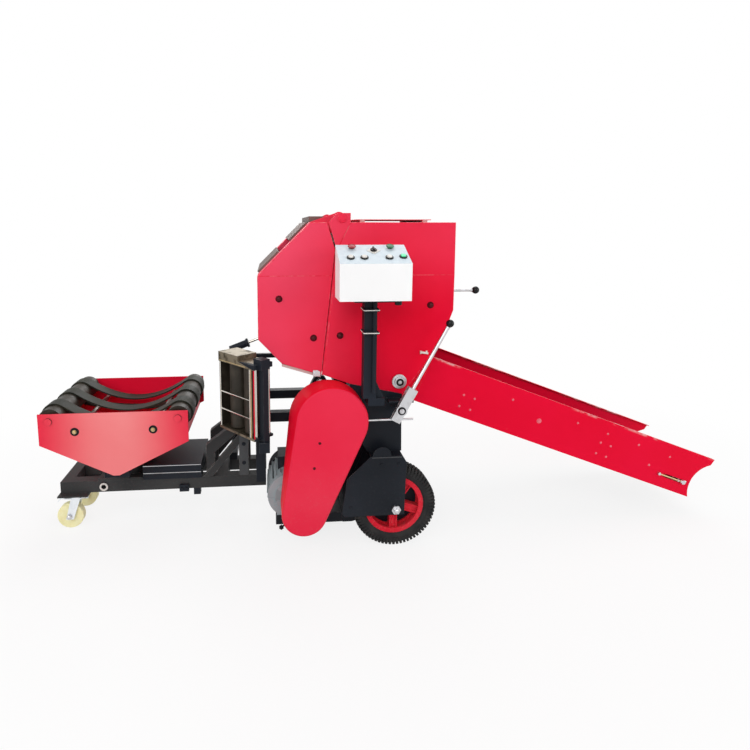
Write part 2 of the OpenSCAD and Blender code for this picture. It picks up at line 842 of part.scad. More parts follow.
module film_cutter() {
    x = -640;
    y = 330;
    top = 840;
    color(black) {
        block([x - 22, y - 22, beam_top], [x + 22, y + 22, top]);
        block([x - 22, beam_y - beam_w / 2, beam_top], [x + 22, y + 22, beam_top + 44]);
        block([x + 22, y - 12, top - 40], [post_x + 120, y + 12, top - 14]);
    }
    color("#333333") translate([x - 24, y, top + 14]) rotate([0, 69, 0]) {
        cylinder(r = 22, h = 118);
        translate([0, 0, 108]) cylinder(r = 28, h = 12);
        cylinder(r = 8, h = 196);
    }
    color(black) block([x - 22, y - 12, top], [x + 22, y + 12, top + 12]);
}

// Wrapper frame and turntable

module wrapper_frame() {
    left_x = castor_x - 76;
    right_x = post_x + tube / 2;
    cross_w = 60;
    bush_x = -1312;
    bush_z = beam_z + beam_h / 2;
    beam_face = beam_y + beam_w / 2;
    color(black) difference() {
        union() {
            for (side = mirror_sides) block([left_x, side * beam_y - beam_w / 2, beam_z],
                                            [right_x, side * beam_y + beam_w / 2, beam_top]);
            for (x = [left_x, -1270, -720]) block([x, -beam_y, beam_z], [x + cross_w, beam_y, beam_top]);
            // End plates over the castors
            for (side = mirror_sides) block([left_x - 6, side * castor_y - 55, beam_z - castor_plate_t],
                                            [castor_x + 74, side * castor_y + 55, beam_z]);
            // Tow bushes through the beams
            both() bar_y(bush_x, bush_z, 20, -beam_face - 6, -beam_y);
        }
        both() bar_y(bush_x, bush_z, 12.5, -beam_face - 7, beam_w / 2 - beam_y + 1);
    }
}

module transfer_ramp() {
    foot_x = -770;
    foot_z = 392;
    head_x = post_x - tube / 2;
    bar = 44;
    brace_x = [-790, -560];
    brace_w = 52;
    brace_top = 476;
    plate_x = [-594, -542];
    face = -beam_y - beam_w / 2;
    thick = 30;
    color(black) both() {
        // Upright on the beam and the bar that a bale rolls down
        block([foot_x, -beam_y - bar / 2, beam_top], [foot_x + bar, bar / 2 - beam_y, foot_z + bar]);
        slab([[foot_x, foot_z], [foot_x + bar, foot_z], [head_x, rail_z], [head_x, rail_top],
              [foot_x, foot_z + bar]], -beam_y - bar / 2, bar / 2 - beam_y);
        // Diagonal brace and the upright plate that it meets
        slab([[brace_x[0], beam_top], [brace_x[0] + brace_w, beam_top], [brace_x[1], brace_top],
              [brace_x[1], brace_top + brace_w]], face, face + thick);
        block([plate_x[0], face, beam_top], [plate_x[1], face + thick, brace_top + brace_w]);
    }
}

module turntable_base() {
    plate_t = 12;
    plate_x = [wrap_x - 150, wrap_x + 80];
    reach = beam_y + beam_w / 2;
    color(black) {
        block([plate_x[0], -reach, beam_top], [plate_x[1], reach, beam_top + plate_t]);
        translate([wrap_x, 0, beam_top + plate_t]) cylinder(r = pivot_r, h = pivot_top - beam_top - plate_t);
    }
}

module turntable_drive() {
    // Lid and box with a groove between them
    groove = 6;
    top = disc_z - 6;
    color(black) {
        block([drive_x[0], drive_y[0], beam_top], [drive_x[1], drive_y[1], top - drive_lid - groove]);
        block([drive_x[0] + groove, drive_y[0] + groove, beam_top + 1],
              [drive_x[1] - groove, drive_y[1] - groove, top - 1]);
        block([drive_x[0], drive_y[0], top - drive_lid], [drive_x[1], drive_y[1], top]);
    }
}

module table_frame() {
    reach = table_y - table_t;
    color(black) {
        translate([wrap_x, 0, disc_z]) cylinder(r = 120, h = table_beam_z - disc_z);
        block([wrap_x - 60, -reach, table_beam_z], [wrap_x + 60, reach, pan_z - 4]);
    }
    // Tie rods through the side plates
    color(steel) for (side = mirror_sides)
        bar_y(wrap_x + side * tie_x, tie_z, tie_r, -table_y - 4, table_y + 4);
}

table_outline = [
    [wrap_x - 15, table_low_z], [wrap_x + 15, table_low_z], [wrap_x + table_half, table_side_z],
    [wrap_x + table_half, table_top_z], [wrap_x - table_half, table_top_z],
    [wrap_x - table_half, table_side_z]
];

module table_plate() {
    color(red) difference() {
        union() {
            slab(table_outline, -table_y, table_t - table_y);
        }
        for (side = mirror_sides)
            bar_y(wrap_x + side * tie_x, tie_z, tie_r, -table_y - 1, table_t - table_y + 1);
        for (side = mirror_sides)
            bar_y(wrap_x + side * table_roller_x, table_roller_z, 18, -table_y - 1, table_t - table_y + 1);
    }
}

module table_pan() {
    reach = table_y - table_t;
    t = 4;
    edge = table_half - 22;
    rise = (table_side_z - table_low_z) / (table_half - 15);
    high = pan_z + (edge - 60) * rise;
    color(red) slab([[wrap_x - 60, pan_z - t], [wrap_x + 60, pan_z - t], [wrap_x + edge, high - t],
                     [wrap_x + edge, high], [wrap_x + 60, pan_z], [wrap_x - 60, pan_z],
                     [wrap_x - edge, high], [wrap_x - edge, high - t]],
                    -reach, reach);
}

module table_rollers() {
    reach = table_y - table_t;
    color("#26262a") for (side = mirror_sides) {
        bar_y(wrap_x + side * table_roller_x, table_roller_z, table_roller_r, 14 - reach, reach - 14);
        bar_y(wrap_x + side * table_roller_x, table_roller_z, 18, -table_y - 6, table_y + 6);
    }
}

// Centre line of a belt: an arc over each roller and a sagging run between them, above and below
function run_height(x, end, angle, edge) = edge - (end * end - x * x) * tan(angle) / (2 * end);
function arc_point(side, i) = let (a = 90 + belt_sag - i * belt_wrap / belt_steps)
    [side * (table_roller_x + belt_r * cos(a)), table_roller_z + belt_r * sin(a)];
function belt_line() = let (
        top_end = table_roller_x - belt_r * sin(belt_sag),
        low_end = table_roller_x + belt_r * sin(belt_slack),
        top_edge = table_roller_z + belt_r * cos(belt_sag),
        low_edge = table_roller_z - belt_r * cos(belt_slack),
        n = 10
    ) concat(
        [for (i = [-n : n]) let (x = top_end * i / n) [x, run_height(x, top_end, belt_sag, top_edge)]],
        [for (i = [1 : belt_steps - 1]) arc_point(1, i)],
        [for (i = [n : -1 : -n]) let (x = low_end * i / n) [x, run_height(x, low_end, belt_slack, low_edge)]],
        [for (i = [belt_steps - 1 : -1 : 1]) arc_point(-1, i)]
    );

module table_belts() {
    line = belt_line();
    count = len(line);
    normals = [for (i = [0 : count - 1]) left(unit(line[(i + 1) % count] - line[(i + count - 1) % count]))];
    outer = [for (i = [0 : count - 1]) line[i] + normals[i] * belt_t / 2];
    inner = [for (i = [0 : count - 1]) line[i] - normals[i] * belt_t / 2];
    color("#1b1b1b") for (y = belt_places) translate([wrap_x, y + belt_w / 2, 0]) rotate([90, 0, 0])
        linear_extrude(belt_w) difference() {
            polygon(outer);
            polygon(inner);
        }
}

// Castors

module castor_fork() {
    top = beam_z - castor_plate_t;
    half = castor_w / 2 + fork_gap;
    color(steel) translate([castor_x, -castor_y, 0]) {
        translate([0, 0, top - 16]) cylinder(r = 34, h = 16 - gap);
        block([-castor_trail - 24, -half - fork_t, top - 22], [30, half + fork_t, top - 16]);
        for (side = mirror_sides)
            slab([[-24, top - 22], [24, top - 22], [20 - castor_trail, castor_r - 16],
                  [-20 - castor_trail, castor_r - 16]],
             side * (half + fork_t / 2) - fork_t / 2, side * (half + fork_t / 2) + fork_t / 2);
        bar_y(-castor_trail, castor_r, castor_axle_r, -half - fork_t - 6, half + fork_t + 6);
        // Brake tab
        translate([-castor_trail, 0, top])
            slab([[-20, -22], [-20, -17], [-48, -22], [-66, -40], [-61, -43], [-46, -27]], -15, 15);
    }
}

module castor_wheel() {
    color("khaki") translate([castor_x - castor_trail, -castor_y, castor_r]) rotate([90, 0, 0]) difference() {
        union() {
            translate([0, 0, -castor_w / 2]) cylinder(r = castor_r, h = castor_w);
            translate([0, 0, -castor_w / 2 - 4]) cylinder(r = 18, h = castor_w + 8);
        }
        translate([0, 0, -castor_w]) cylinder(r = castor_axle_r + 0.08, h = 2 * castor_w);
    }
}

// The machine stands centred on its footprint
module placed() {
    translate([-centre[0], -centre[1], 0]) children();
}

module far() {
    scale([1, -1, 1]) children();
}

placed() main_frame();
placed() wrapper_frame();
placed() transfer_ramp();
placed() wheel_bracket();  // wheel_bracket_near
placed() far() wheel_bracket();  // wheel_bracket_far
placed() axle();
placed() side_plate();  // side_plate_near
placed() far() side_plate();  // side_plate_far
placed() leaned_cover(front_outline);  // body_cover_near
placed() far() leaned_cover(front_outline);  // body_cover_far
placed() front_shell();
placed() front_rollers();
placed() hinge_brackets();
placed() gate_plate();  // gate_plate_near
placed() far() gate_plate();  // gate_plate_far
placed() leaned_cover(gate_outline);  // gate_cover_near
placed() far() leaned_cover(gate_outline);  // gate_cover_far
placed() gate_slats();
placed() gate_rollers();
placed() belt_guard();
placed() countershaft();
placed() motor();
placed() motor_base();
placed() control_post();
placed() control_box();
placed() control_buttons();
placed() clutch_lever();
placed() lever_knobs();
placed() feed_lever();
placed() roller_hub();
placed() chute_wall();  // chute_wall_near
placed() far() chute_wall();  // chute_wall_far
placed() chute_floor();
placed() chute_rollers();
placed() chute_slats();
placed() film_stand();
placed() film_roller(0);  // film_roller_a
placed() film_roller(1);  // film_roller_b
placed() film_rods();
placed() film_cutter();
placed() turntable_base();
placed() turntable_drive();
placed() table_frame();
placed() table_plate();  // table_plate_near
placed() far() table_plate();  // table_plate_far
placed() table_pan();
placed() table_rollers();
placed() table_belts();
placed() tyre();  // tyre_near
placed() far() tyre();  // tyre_far
placed() rim();  // rim_near
placed() far() rim();  // rim_far
placed() castor_fork();  // castor_fork_near
placed() far() castor_fork();  // castor_fork_far
placed() castor_wheel();  // castor_wheel_near
placed() far() castor_wheel();  // castor_wheel_far
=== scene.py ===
"""Towed silage baler with its feed conveyor and bale wrapper: finishes, trim, light and camera."""
import json
import math

import bmesh
import bpy
from mathutils import Matrix, Vector


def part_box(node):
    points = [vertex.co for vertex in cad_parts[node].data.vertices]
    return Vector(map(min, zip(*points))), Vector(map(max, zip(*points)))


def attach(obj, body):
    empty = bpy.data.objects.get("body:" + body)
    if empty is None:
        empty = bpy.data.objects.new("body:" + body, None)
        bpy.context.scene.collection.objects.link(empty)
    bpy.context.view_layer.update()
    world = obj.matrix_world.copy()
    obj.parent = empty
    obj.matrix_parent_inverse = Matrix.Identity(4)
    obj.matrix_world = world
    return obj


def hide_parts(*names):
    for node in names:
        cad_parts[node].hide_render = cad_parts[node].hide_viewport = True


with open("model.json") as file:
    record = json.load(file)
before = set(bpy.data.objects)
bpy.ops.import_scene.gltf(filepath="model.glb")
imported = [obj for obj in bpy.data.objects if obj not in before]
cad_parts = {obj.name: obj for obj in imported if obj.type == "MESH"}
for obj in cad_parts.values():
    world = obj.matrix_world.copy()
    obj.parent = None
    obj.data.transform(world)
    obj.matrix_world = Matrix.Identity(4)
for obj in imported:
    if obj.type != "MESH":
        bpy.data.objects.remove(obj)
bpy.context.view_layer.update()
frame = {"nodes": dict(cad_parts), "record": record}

record = frame["record"]
BODY_OF = {node: body for body, nodes in record["behaviour"]["bodies"].items() for node in nodes}

# Places are in millimetres: x from the bale's axis, y from the machine's middle, z from the floor
AXLE_X, AXLE_Z = 195, 210
axle_low, axle_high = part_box("axle")
BALE_X = (axle_low.x + axle_high.x) / 2 - AXLE_X / 1000
MIDDLE_Y = (axle_low.y + axle_high.y) / 2
SIDES = (-1, 1)
SIDE_NAMES = {-1: "near", 1: "far"}
FACES = {side: Vector((0, side, 0)) for side in SIDES}
SLOPE = math.radians(21)
CHUTE_FOOT = (211, 746)
WRAP_X = -1190
FILM_CORNER = (-489, -500)
FILM_TURN = math.radians(130.3)
SPOKE_TURN = 36
# How far outer faces are from the middle
CASE_OUT, BRACKET_OUT, GUARD_OUT, RAMP_OUT, WALL_OUT, TABLE_OUT = 400, 460, 515, 130, 270, 310
WHEEL_OUT, WHEEL_HUB_OUT, AXLE_END = 390, 435, 482


def spot(x, y, z):
    return Vector((BALE_X + x / 1000, MIDDLE_Y + y / 1000, z / 1000))


def span(side, first, second):
    """Two distances from the middle as places on one side, the lower first."""
    return sorted((side * first, side * second))


def chute_spot(along, y, up):
    """A place on the conveyor, along its slope and square to it."""
    x = CHUTE_FOOT[0] + along * math.cos(SLOPE) + up * math.sin(SLOPE)
    return spot(x, y, CHUTE_FOOT[1] - along * math.sin(SLOPE) + up * math.cos(SLOPE))


def film_spot(x, y, z):
    """A place on the film stretcher, along its oblique face and square to it."""
    c, s = math.cos(FILM_TURN), math.sin(FILM_TURN)
    return spot(FILM_CORNER[0] + x * c - y * s, FILM_CORNER[1] + x * s + y * c, z)


# Finishes

class Value:
    """A number in a finish's tree. Arithmetic on it adds Math nodes."""

    def __init__(self, finish, socket):
        self.finish, self.socket = finish, socket

    def math(self, operation, first, second):
        return self.finish.node("ShaderNodeMath", {"operation": operation}, {0: first, 1: second})

    def __add__(self, other):
        return self.math("ADD", self, other)

    def __sub__(self, other):
        return self.math("SUBTRACT", self, other)

    def __rsub__(self, other):
        return self.math("SUBTRACT", other, self)

    def __mul__(self, other):
        return self.math("MULTIPLY", self, other)

    __radd__ = __add__
    __rmul__ = __mul__

    def between(self, low, high):
        """0 below low, 1 above high, smooth in between."""
        return self.finish.node("ShaderNodeMapRange", {"interpolation_type": "SMOOTHSTEP"},
                                {0: self, 1: low, 2: high})

    def away(self):
        return self.math("ABSOLUTE", self, 0.0)


class Finish:
    """One material, built from nodes on Object coordinates."""

    def __init__(self, name, constants):
        self.material = bpy.data.materials.new(name)
        self.material.use_nodes = True
        self.tree = self.material.node_tree
        self.shader = self.tree.nodes["Principled BSDF"]
        for socket, value in constants.items():
            self.shader.inputs[socket].default_value = value
        self.place = self.node("ShaderNodeTexCoord", output="Object")

    def feed(self, socket, value):
        if isinstance(value, Value):
            self.tree.links.new(value.socket, socket)
        elif isinstance(value, tuple) and len(value) == 3 and socket.type == "RGBA":
            socket.default_value = (*value, 1)
        else:
            socket.default_value = value

    def node(self, kind, settings=None, inputs=None, output=0):
        made = self.tree.nodes.new(kind)
        for name, value in (settings or {}).items():
            setattr(made, name, value)
        for name, value in (inputs or {}).items():
            self.feed(made.inputs[name], value)
        return Value(self, made.outputs[output])

    def split(self, vector):
        made = self.tree.nodes.new("ShaderNodeSeparateXYZ")
        self.feed(made.inputs[0], vector)
        return [Value(self, out) for out in made.outputs]

    def noise(self, scale, detail=3.0, stretch=None):
        place = self.place
        if stretch:
            place = self.node("ShaderNodeMapping", None, {"Vector": place, "Scale": stretch})
        return self.node("ShaderNodeTexNoise", None, {
            "Vector": place, "Scale": scale, "Detail": detail})

    def blend(self, amount, low, high):
        return self.node("ShaderNodeMix", {"data_type": "RGBA"}, {0: amount, 6: low, 7: high}, 2)

    def upward(self):
        normal = self.node("ShaderNodeNewGeometry", output="Normal")
        return self.split(normal)[2]

    def rough_skin(self, height, strength, depth):
        bump = self.node("ShaderNodeBump", None, {
            "Height": height, "Strength": strength, "Distance": depth})
        self.feed(self.shader.inputs["Normal"], bump)

    def sprayed(self):
        """Broad patches in the colour, over a fine orange-peel skin."""
        self.rough_skin(self.noise(380.0, 2.0), 0.06, 0.0006)
        return self.noise(2.3, 4.0).between(0.3, 0.72)

    def show(self, **sockets):
        for name, value in sockets.items():
            self.feed(self.shader.inputs[name.replace("_", " ")], value)
        return self.material


def paint(name, light, deep, rough=0.42, gloss=0.1, dust=(0.42, 0.36, 0.3), dusty=0.2, painted_sheen=None):
    """Sprayed paint, with dust that gathers low down and on flat tops.

    A painted sheen gives a paler colour, standing in for a broad highlight on the paint, and a
    function from x, y, z to where it shows.
    """
    finish = Finish(name, {"Specular IOR Level": gloss})
    x, y, z = finish.split(finish.place)
    patches = finish.sprayed()
    specks = finish.noise(95.0, 4.0).between(0.52, 0.8)
    low_down = 1 - z.between(0.05, 0.75)
    flat_top = finish.upward().between(0.8, 0.98)
    grime = (low_down * 0.6 + flat_top * 0.5) * (specks * 0.7 + patches * 0.3) * dusty
    colour = finish.blend(patches, deep, light)
    # Painted highlight: the colour turns paler where the sheen's function shows
    if painted_sheen:
        colour = finish.blend(painted_sheen[1](x, y, z) * (patches * 0.2 + 0.8), colour, painted_sheen[0])
    return finish.show(Base_Color=finish.blend(grime, colour, dust),
                       Roughness=rough + patches * 0.06 + grime * 0.5)


def scratched_paint(name, light, deep):
    """The conveyor's paint, rubbed pale along its walls' top edges and scuffed on their faces."""
    finish = Finish(name, {"Specular IOR Level": 0.05})
    x, y, z = finish.split(finish.place)
    foot = spot(CHUTE_FOOT[0], 0, CHUTE_FOOT[1])
    up = (x - foot.x) * math.sin(SLOPE) + (z - foot.z) * math.cos(SLOPE)
    patches = finish.sprayed()
    streaks = finish.noise(16.0, 5.0, (1.0, 6.0, 1.0)).between(0.42, 0.6)
    fine = finish.noise(150.0, 4.0).between(0.45, 0.75)
    patchy = finish.noise(3.4, 2.0).between(0.44, 0.56)
    rubbed = up.between(0.236, 0.2495) * streaks * patchy
    scuffs = finish.noise(26.0, 6.0, (1.0, 1.0, 9.0)).between(0.68, 0.76) * fine * 0.2
    bare = rubbed * 0.75 + scuffs
    colour = finish.blend(bare, finish.blend(patches, deep, light), (0.78, 0.6, 0.58))
    return finish.show(Base_Color=colour, Roughness=0.42 + patches * 0.06 + bare * 0.2)


def metal(name, colour, dark, rough=0.3, stretch=(1.0, 1.0, 1.0), stain=0.5):
    """Bare or plated metal with a fine grain and darker stains."""
    finish = Finish(name, {"Metallic": 1.0})
    grain = finish.noise(260.0, 3.0, stretch)
    stains = finish.noise(24.0, 5.0).between(0.45, 0.75) * stain
    finish.rough_skin(grain, 0.08, 0.0004)
    return finish.show(Base_Color=finish.blend(stains, colour, dark),
                       Roughness=rough + grain * 0.12 + stains * 0.2)


def worn_and_highlit_edge(name, paint_colour, edge_tone):
    """The turned-over edges of painted steel, in patches of a second edge tone: partly
    rubbed-through wear, partly painted light along the edge.
    """
    finish = Finish(name, {"Specular IOR Level": 0.15})
    rubbed = finish.noise(38.0, 5.0).between(0.38, 0.66)
    fine = finish.noise(210.0, 3.0).between(0.3, 0.7)
    finish.rough_skin(fine, 0.1, 0.0004)
    return finish.show(Base_Color=finish.blend(rubbed * (fine * 0.4 + 0.6), paint_colour, edge_tone),
                       Roughness=0.4 + fine * 0.15)


def rubber(name, colour, dusted, rough=0.62, weave=None):
    """Rubber with a dull bloom; a belt also has the print of its woven cloth."""
    finish = Finish(name, {"Specular IOR Level": 0.22})
    bloom = finish.noise(14.0, 5.0).between(0.35, 0.75)
    fine = finish.noise(320.0, 3.0)
    skin = fine
    if weave:
        x, y, z = finish.split(finish.place)
        across = finish.node("ShaderNodeMath", {"operation": "SINE"}, {0: y * weave})
        along = finish.node("ShaderNodeMath", {"operation": "SINE"}, {0: (x + z) * weave})
        skin = across * along * 0.5 + fine * 0.4
    finish.rough_skin(skin, 0.25, 0.0008)
    return finish.show(Base_Color=finish.blend(bloom, colour, dusted),
                       Roughness=rough + bloom * 0.15)


def plastic(name, colour, shade, rough=0.25, glow=0.0, gloss=0.4):
    """Moulded plastic with a slight mottle; a lit lamp also glows."""
    finish = Finish(name, {"Emission Strength": glow, "Specular IOR Level": gloss})
    mottle = finish.noise(40.0, 3.0).between(0.3, 0.7)
    tint = finish.blend(mottle, colour, shade)
    finish.rough_skin(finish.noise(700.0, 2.0), 0.05, 0.0003)
    if glow:
        finish.feed(finish.shader.inputs["Emission Color"], tint)
    return finish.show(Base_Color=tint, Roughness=rough + mottle * 0.06)


# Faces of the wrapping table's plates, in metres from the middle
PLATE_INSIDE, PLATE_OUTSIDE = 0.3065, 0.3085


def gate_painted_sheen(x, y, z):
    """Painted highlight: paler on the tailgate and towards the top of the body, for the broad sheen
    of light on the paint.
    """
    return (1 - (x - BALE_X).between(-0.42, 0.16)) * 0.62 + z.between(1.15, 1.62) * 0.36


def plate_painted_sheen(x, y, z):
    """Painted highlight: paler in the middle of the wrapping table's plates, on their outer faces,
    for the sheen of light on them.
    """
    outside = (y - MIDDLE_Y).away().between(PLATE_INSIDE, PLATE_OUTSIDE)
    return (1 - (x - BALE_X - WRAP_X / 1000).away().between(0.02, 0.40)) * outside


# Painted highlight: the body's red turns paler on the tailgate and towards the top
RED = paint("red_paint", (0.80, 0.004, 0.034), (0.76, 0.002, 0.024), gloss=0.06,
            painted_sheen=((0.82, 0.075, 0.14), gate_painted_sheen))
# Painted light: the belt guard's face and side wall take two tones of one red, a paler pink face
# and a stronger red side, as the light falls on them
GUARD_RED = paint("guard_red", (0.80, 0.026, 0.068), (0.77, 0.018, 0.055))
GUARD_SIDE_PAINTED_LIGHT = paint("guard_side_painted_light", (0.86, 0.004, 0.028), (0.80, 0.002, 0.022), 0.36, 0.08)
RIM_RED = paint("rim_red", (0.72, 0.006, 0.03), (0.62, 0.004, 0.022), dusty=0.4)
CHUTE_RED = scratched_paint("conveyor_red", (0.79, 0.003, 0.036), (0.76, 0.002, 0.028))
# Painted light: the inner faces of the table's plates and its pan take a brighter copy of the
# table's red, standing in for the light reaching into the table
TABLE_INSIDE_LIT = paint("table_inside_lit", (0.93, 0.010, 0.045), (0.88, 0.007, 0.038),
                     gloss=0.05, dusty=0.1)
# Painted highlight: the table's red turns paler in the middle of its plates' outer faces
TABLE_RED = paint("table_red", (0.80, 0.028, 0.066), (0.76, 0.02, 0.055),
                  painted_sheen=((0.86, 0.25, 0.25), plate_painted_sheen))
BLACK = paint("black_paint", (0.012, 0.016, 0.024), (0.007, 0.009, 0.013), 0.44, 0.14,
              (0.10, 0.095, 0.085), 0.3)
FRAME_BLACK = paint("frame_black", (0.042, 0.043, 0.044), (0.028, 0.029, 0.030), 0.46, 0.14,
                    (0.16, 0.15, 0.14), 0.4)
DARK_GREY = paint("dark_grey", (0.085, 0.09, 0.095), (0.055, 0.058, 0.062), 0.5, 0.1)
RIVET_PINK = paint("rivet_pink", (0.82, 0.20, 0.25), (0.74, 0.13, 0.18), 0.35, 0.2)
BRIGHT_ZINC = metal("bright_zinc", (0.84, 0.87, 0.90), (0.58, 0.60, 0.63), 0.4, stain=0.35)
STEEL = metal("zinc_steel", (0.62, 0.62, 0.64), (0.34, 0.32, 0.30), 0.3)
WORN_STEEL = metal("worn_steel", (0.30, 0.27, 0.25), (0.12, 0.09, 0.08), 0.45, stain=0.8)
SLAT_BROWN = paint("slat_brown", (0.20, 0.14, 0.125), (0.12, 0.08, 0.07), 0.5, 0.1)
LID_BEIGE = paint("lid_beige", (0.62, 0.44, 0.42), (0.52, 0.34, 0.33), 0.5, 0.1)
CHROME = metal("chrome_rod", (0.66, 0.63, 0.58), (0.42, 0.34, 0.24), 0.12, stain=0.5)
BRASS = metal("passivated_nut", (0.62, 0.48, 0.26), (0.3, 0.2, 0.1), 0.3)
OLIVE = metal("gear_housing", (0.25, 0.21, 0.15), (0.03, 0.023, 0.014), 0.36, stain=0.9)
GREY = paint("motor_grey", (0.36, 0.41, 0.43), (0.28, 0.33, 0.35), 0.46, 0.1)
WHITE = paint("pale_paint", (0.92, 0.92, 0.92), (0.89, 0.89, 0.89), 0.45, 0.1,
              (0.5, 0.47, 0.42), 0.1)
PANEL = plastic("panel_sheet", (0.58, 0.66, 0.71), (0.53, 0.61, 0.67), 0.4)
BALL_BLACK = plastic("black_plastic", (0.005, 0.005, 0.006), (0.008, 0.008, 0.008), 0.16, gloss=0.2)
KNOB_DARK = plastic("cover_knob", (0.085, 0.004, 0.008), (0.05, 0.003, 0.005), 0.24, gloss=0.15)
PALE_NYLON = plastic("pale_nylon", (0.74, 0.72, 0.68), (0.64, 0.61, 0.57), 0.45)
YELLOW = plastic("yellow_nylon", (0.92, 0.88, 0.54), (0.88, 0.82, 0.44), 0.5)
BUTTON_RED = plastic("button_red", (0.34, 0.008, 0.014), (0.26, 0.006, 0.010))
BUTTON_GREEN = plastic("button_green", (0.012, 0.16, 0.06), (0.010, 0.12, 0.045))
LAMP_GREEN = plastic("lamp_green", (0.10, 0.72, 0.34), (0.06, 0.6, 0.28), 0.2, 0.25)
BELT = rubber("belt_rubber", (0.012, 0.013, 0.009), (0.030, 0.030, 0.020), 0.55, 900.0)
FILM_RUBBER = rubber("film_rubber", (0.022, 0.018, 0.013), (0.048, 0.038, 0.028), 0.42)
TYRE = rubber("tyre_rubber", (0.010, 0.010, 0.011), (0.030, 0.029, 0.028), 0.6)

# Finishes of the turned edges, by the finish of the faces. On the red covers and the black parts
# the paler edge tone is partly wear and partly a painted highlight along the edge; on the conveyor
# it is wear, and on the table a darker brown
EDGE_OF = {
    RED: worn_and_highlit_edge("red_edge", (0.76, 0.008, 0.04), (0.80, 0.15, 0.18)),
    CHUTE_RED: worn_and_highlit_edge("conveyor_edge", (0.74, 0.004, 0.03), (0.60, 0.10, 0.10)),
    TABLE_RED: worn_and_highlit_edge("table_edge", (0.66, 0.03, 0.05), (0.30, 0.08, 0.05)),
    BLACK: worn_and_highlit_edge("black_edge", (0.022, 0.026, 0.032), (0.085, 0.09, 0.098)),
    FRAME_BLACK: worn_and_highlit_edge("frame_edge", (0.055, 0.056, 0.057), (0.15, 0.145, 0.135)),
}


# Meshes

SMOOTH = math.radians(24)
BEVEL_FROM = math.radians(30)
FLAT = math.radians(0.5)
SAME_PLACE = 2e-5
# How far edges are turned over, in metres
EDGE, FINE_EDGE, SOFT_EDGE = 0.0015, 0.001, 0.003
TRIM_EDGE, RING_EDGE = 0.0008, 0.0005


def settle(obj, bevel, edge=None):
    """Turns an object's edges over by a small bevel, in a finish of their own if given."""
    mesh = obj.data
    mesh.shade_smooth()
    mesh.set_sharp_from_angle(angle=SMOOTH)
    if bevel:
        turn = obj.modifiers.new("edges", "BEVEL")
        turn.width, turn.segments = bevel, 2
        turn.limit_method, turn.angle_limit = "ANGLE", BEVEL_FROM
        turn.use_clamp_overlap, turn.harden_normals = True, True
        if edge:
            mesh.materials.append(edge)
            turn.material = len(mesh.materials) - 1
        graph = bpy.context.evaluated_depsgraph_get()
        obj.data = bpy.data.meshes.new_from_object(obj.evaluated_get(graph), depsgraph=graph)
        obj.modifiers.clear()
        obj.data.name = obj.name


def belong(obj, body, nodes=()):
    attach(obj, body)
    if nodes:
        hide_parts(*nodes)


def dress(node, *finishes, choose=None, bevel=EDGE, roll=0.0):
    """The solid's own shape with turned edges.

    Choose gives the number of a face's finish from its middle. A roll turns the part on the axle.
    """
    form = bmesh.new()
    form.from_mesh(frame["nodes"][node].data)
    if roll:
        bmesh.ops.rotate(form, verts=form.verts, cent=spot(AXLE_X, 0, AXLE_Z),
                         matrix=Matrix.Rotation(roll, 3, "Y"))
    bmesh.ops.remove_doubles(form, verts=form.verts, dist=SAME_PLACE)
    for layer in list(form.loops.layers.uv.values()):
        form.loops.layers.uv.remove(layer)
    for face in form.faces:
        face.material_index = int(choose(face.calc_center_median())) if choose else 0
    bmesh.ops.dissolve_limit(form, angle_limit=FLAT, verts=form.verts, edges=form.edges,
                             delimit={"MATERIAL"})
    mesh = bpy.data.meshes.new(node + "_dressed")
    form.to_mesh(mesh)
    form.free()
    for finish in finishes:
        mesh.materials.append(finish)
    obj = bpy.data.objects.new(node + "_dressed", mesh)
    bpy.context.collection.objects.link(obj)
    settle(obj, bevel, EDGE_OF.get(finishes[0]))
    belong(obj, BODY_OF[node], (node,))


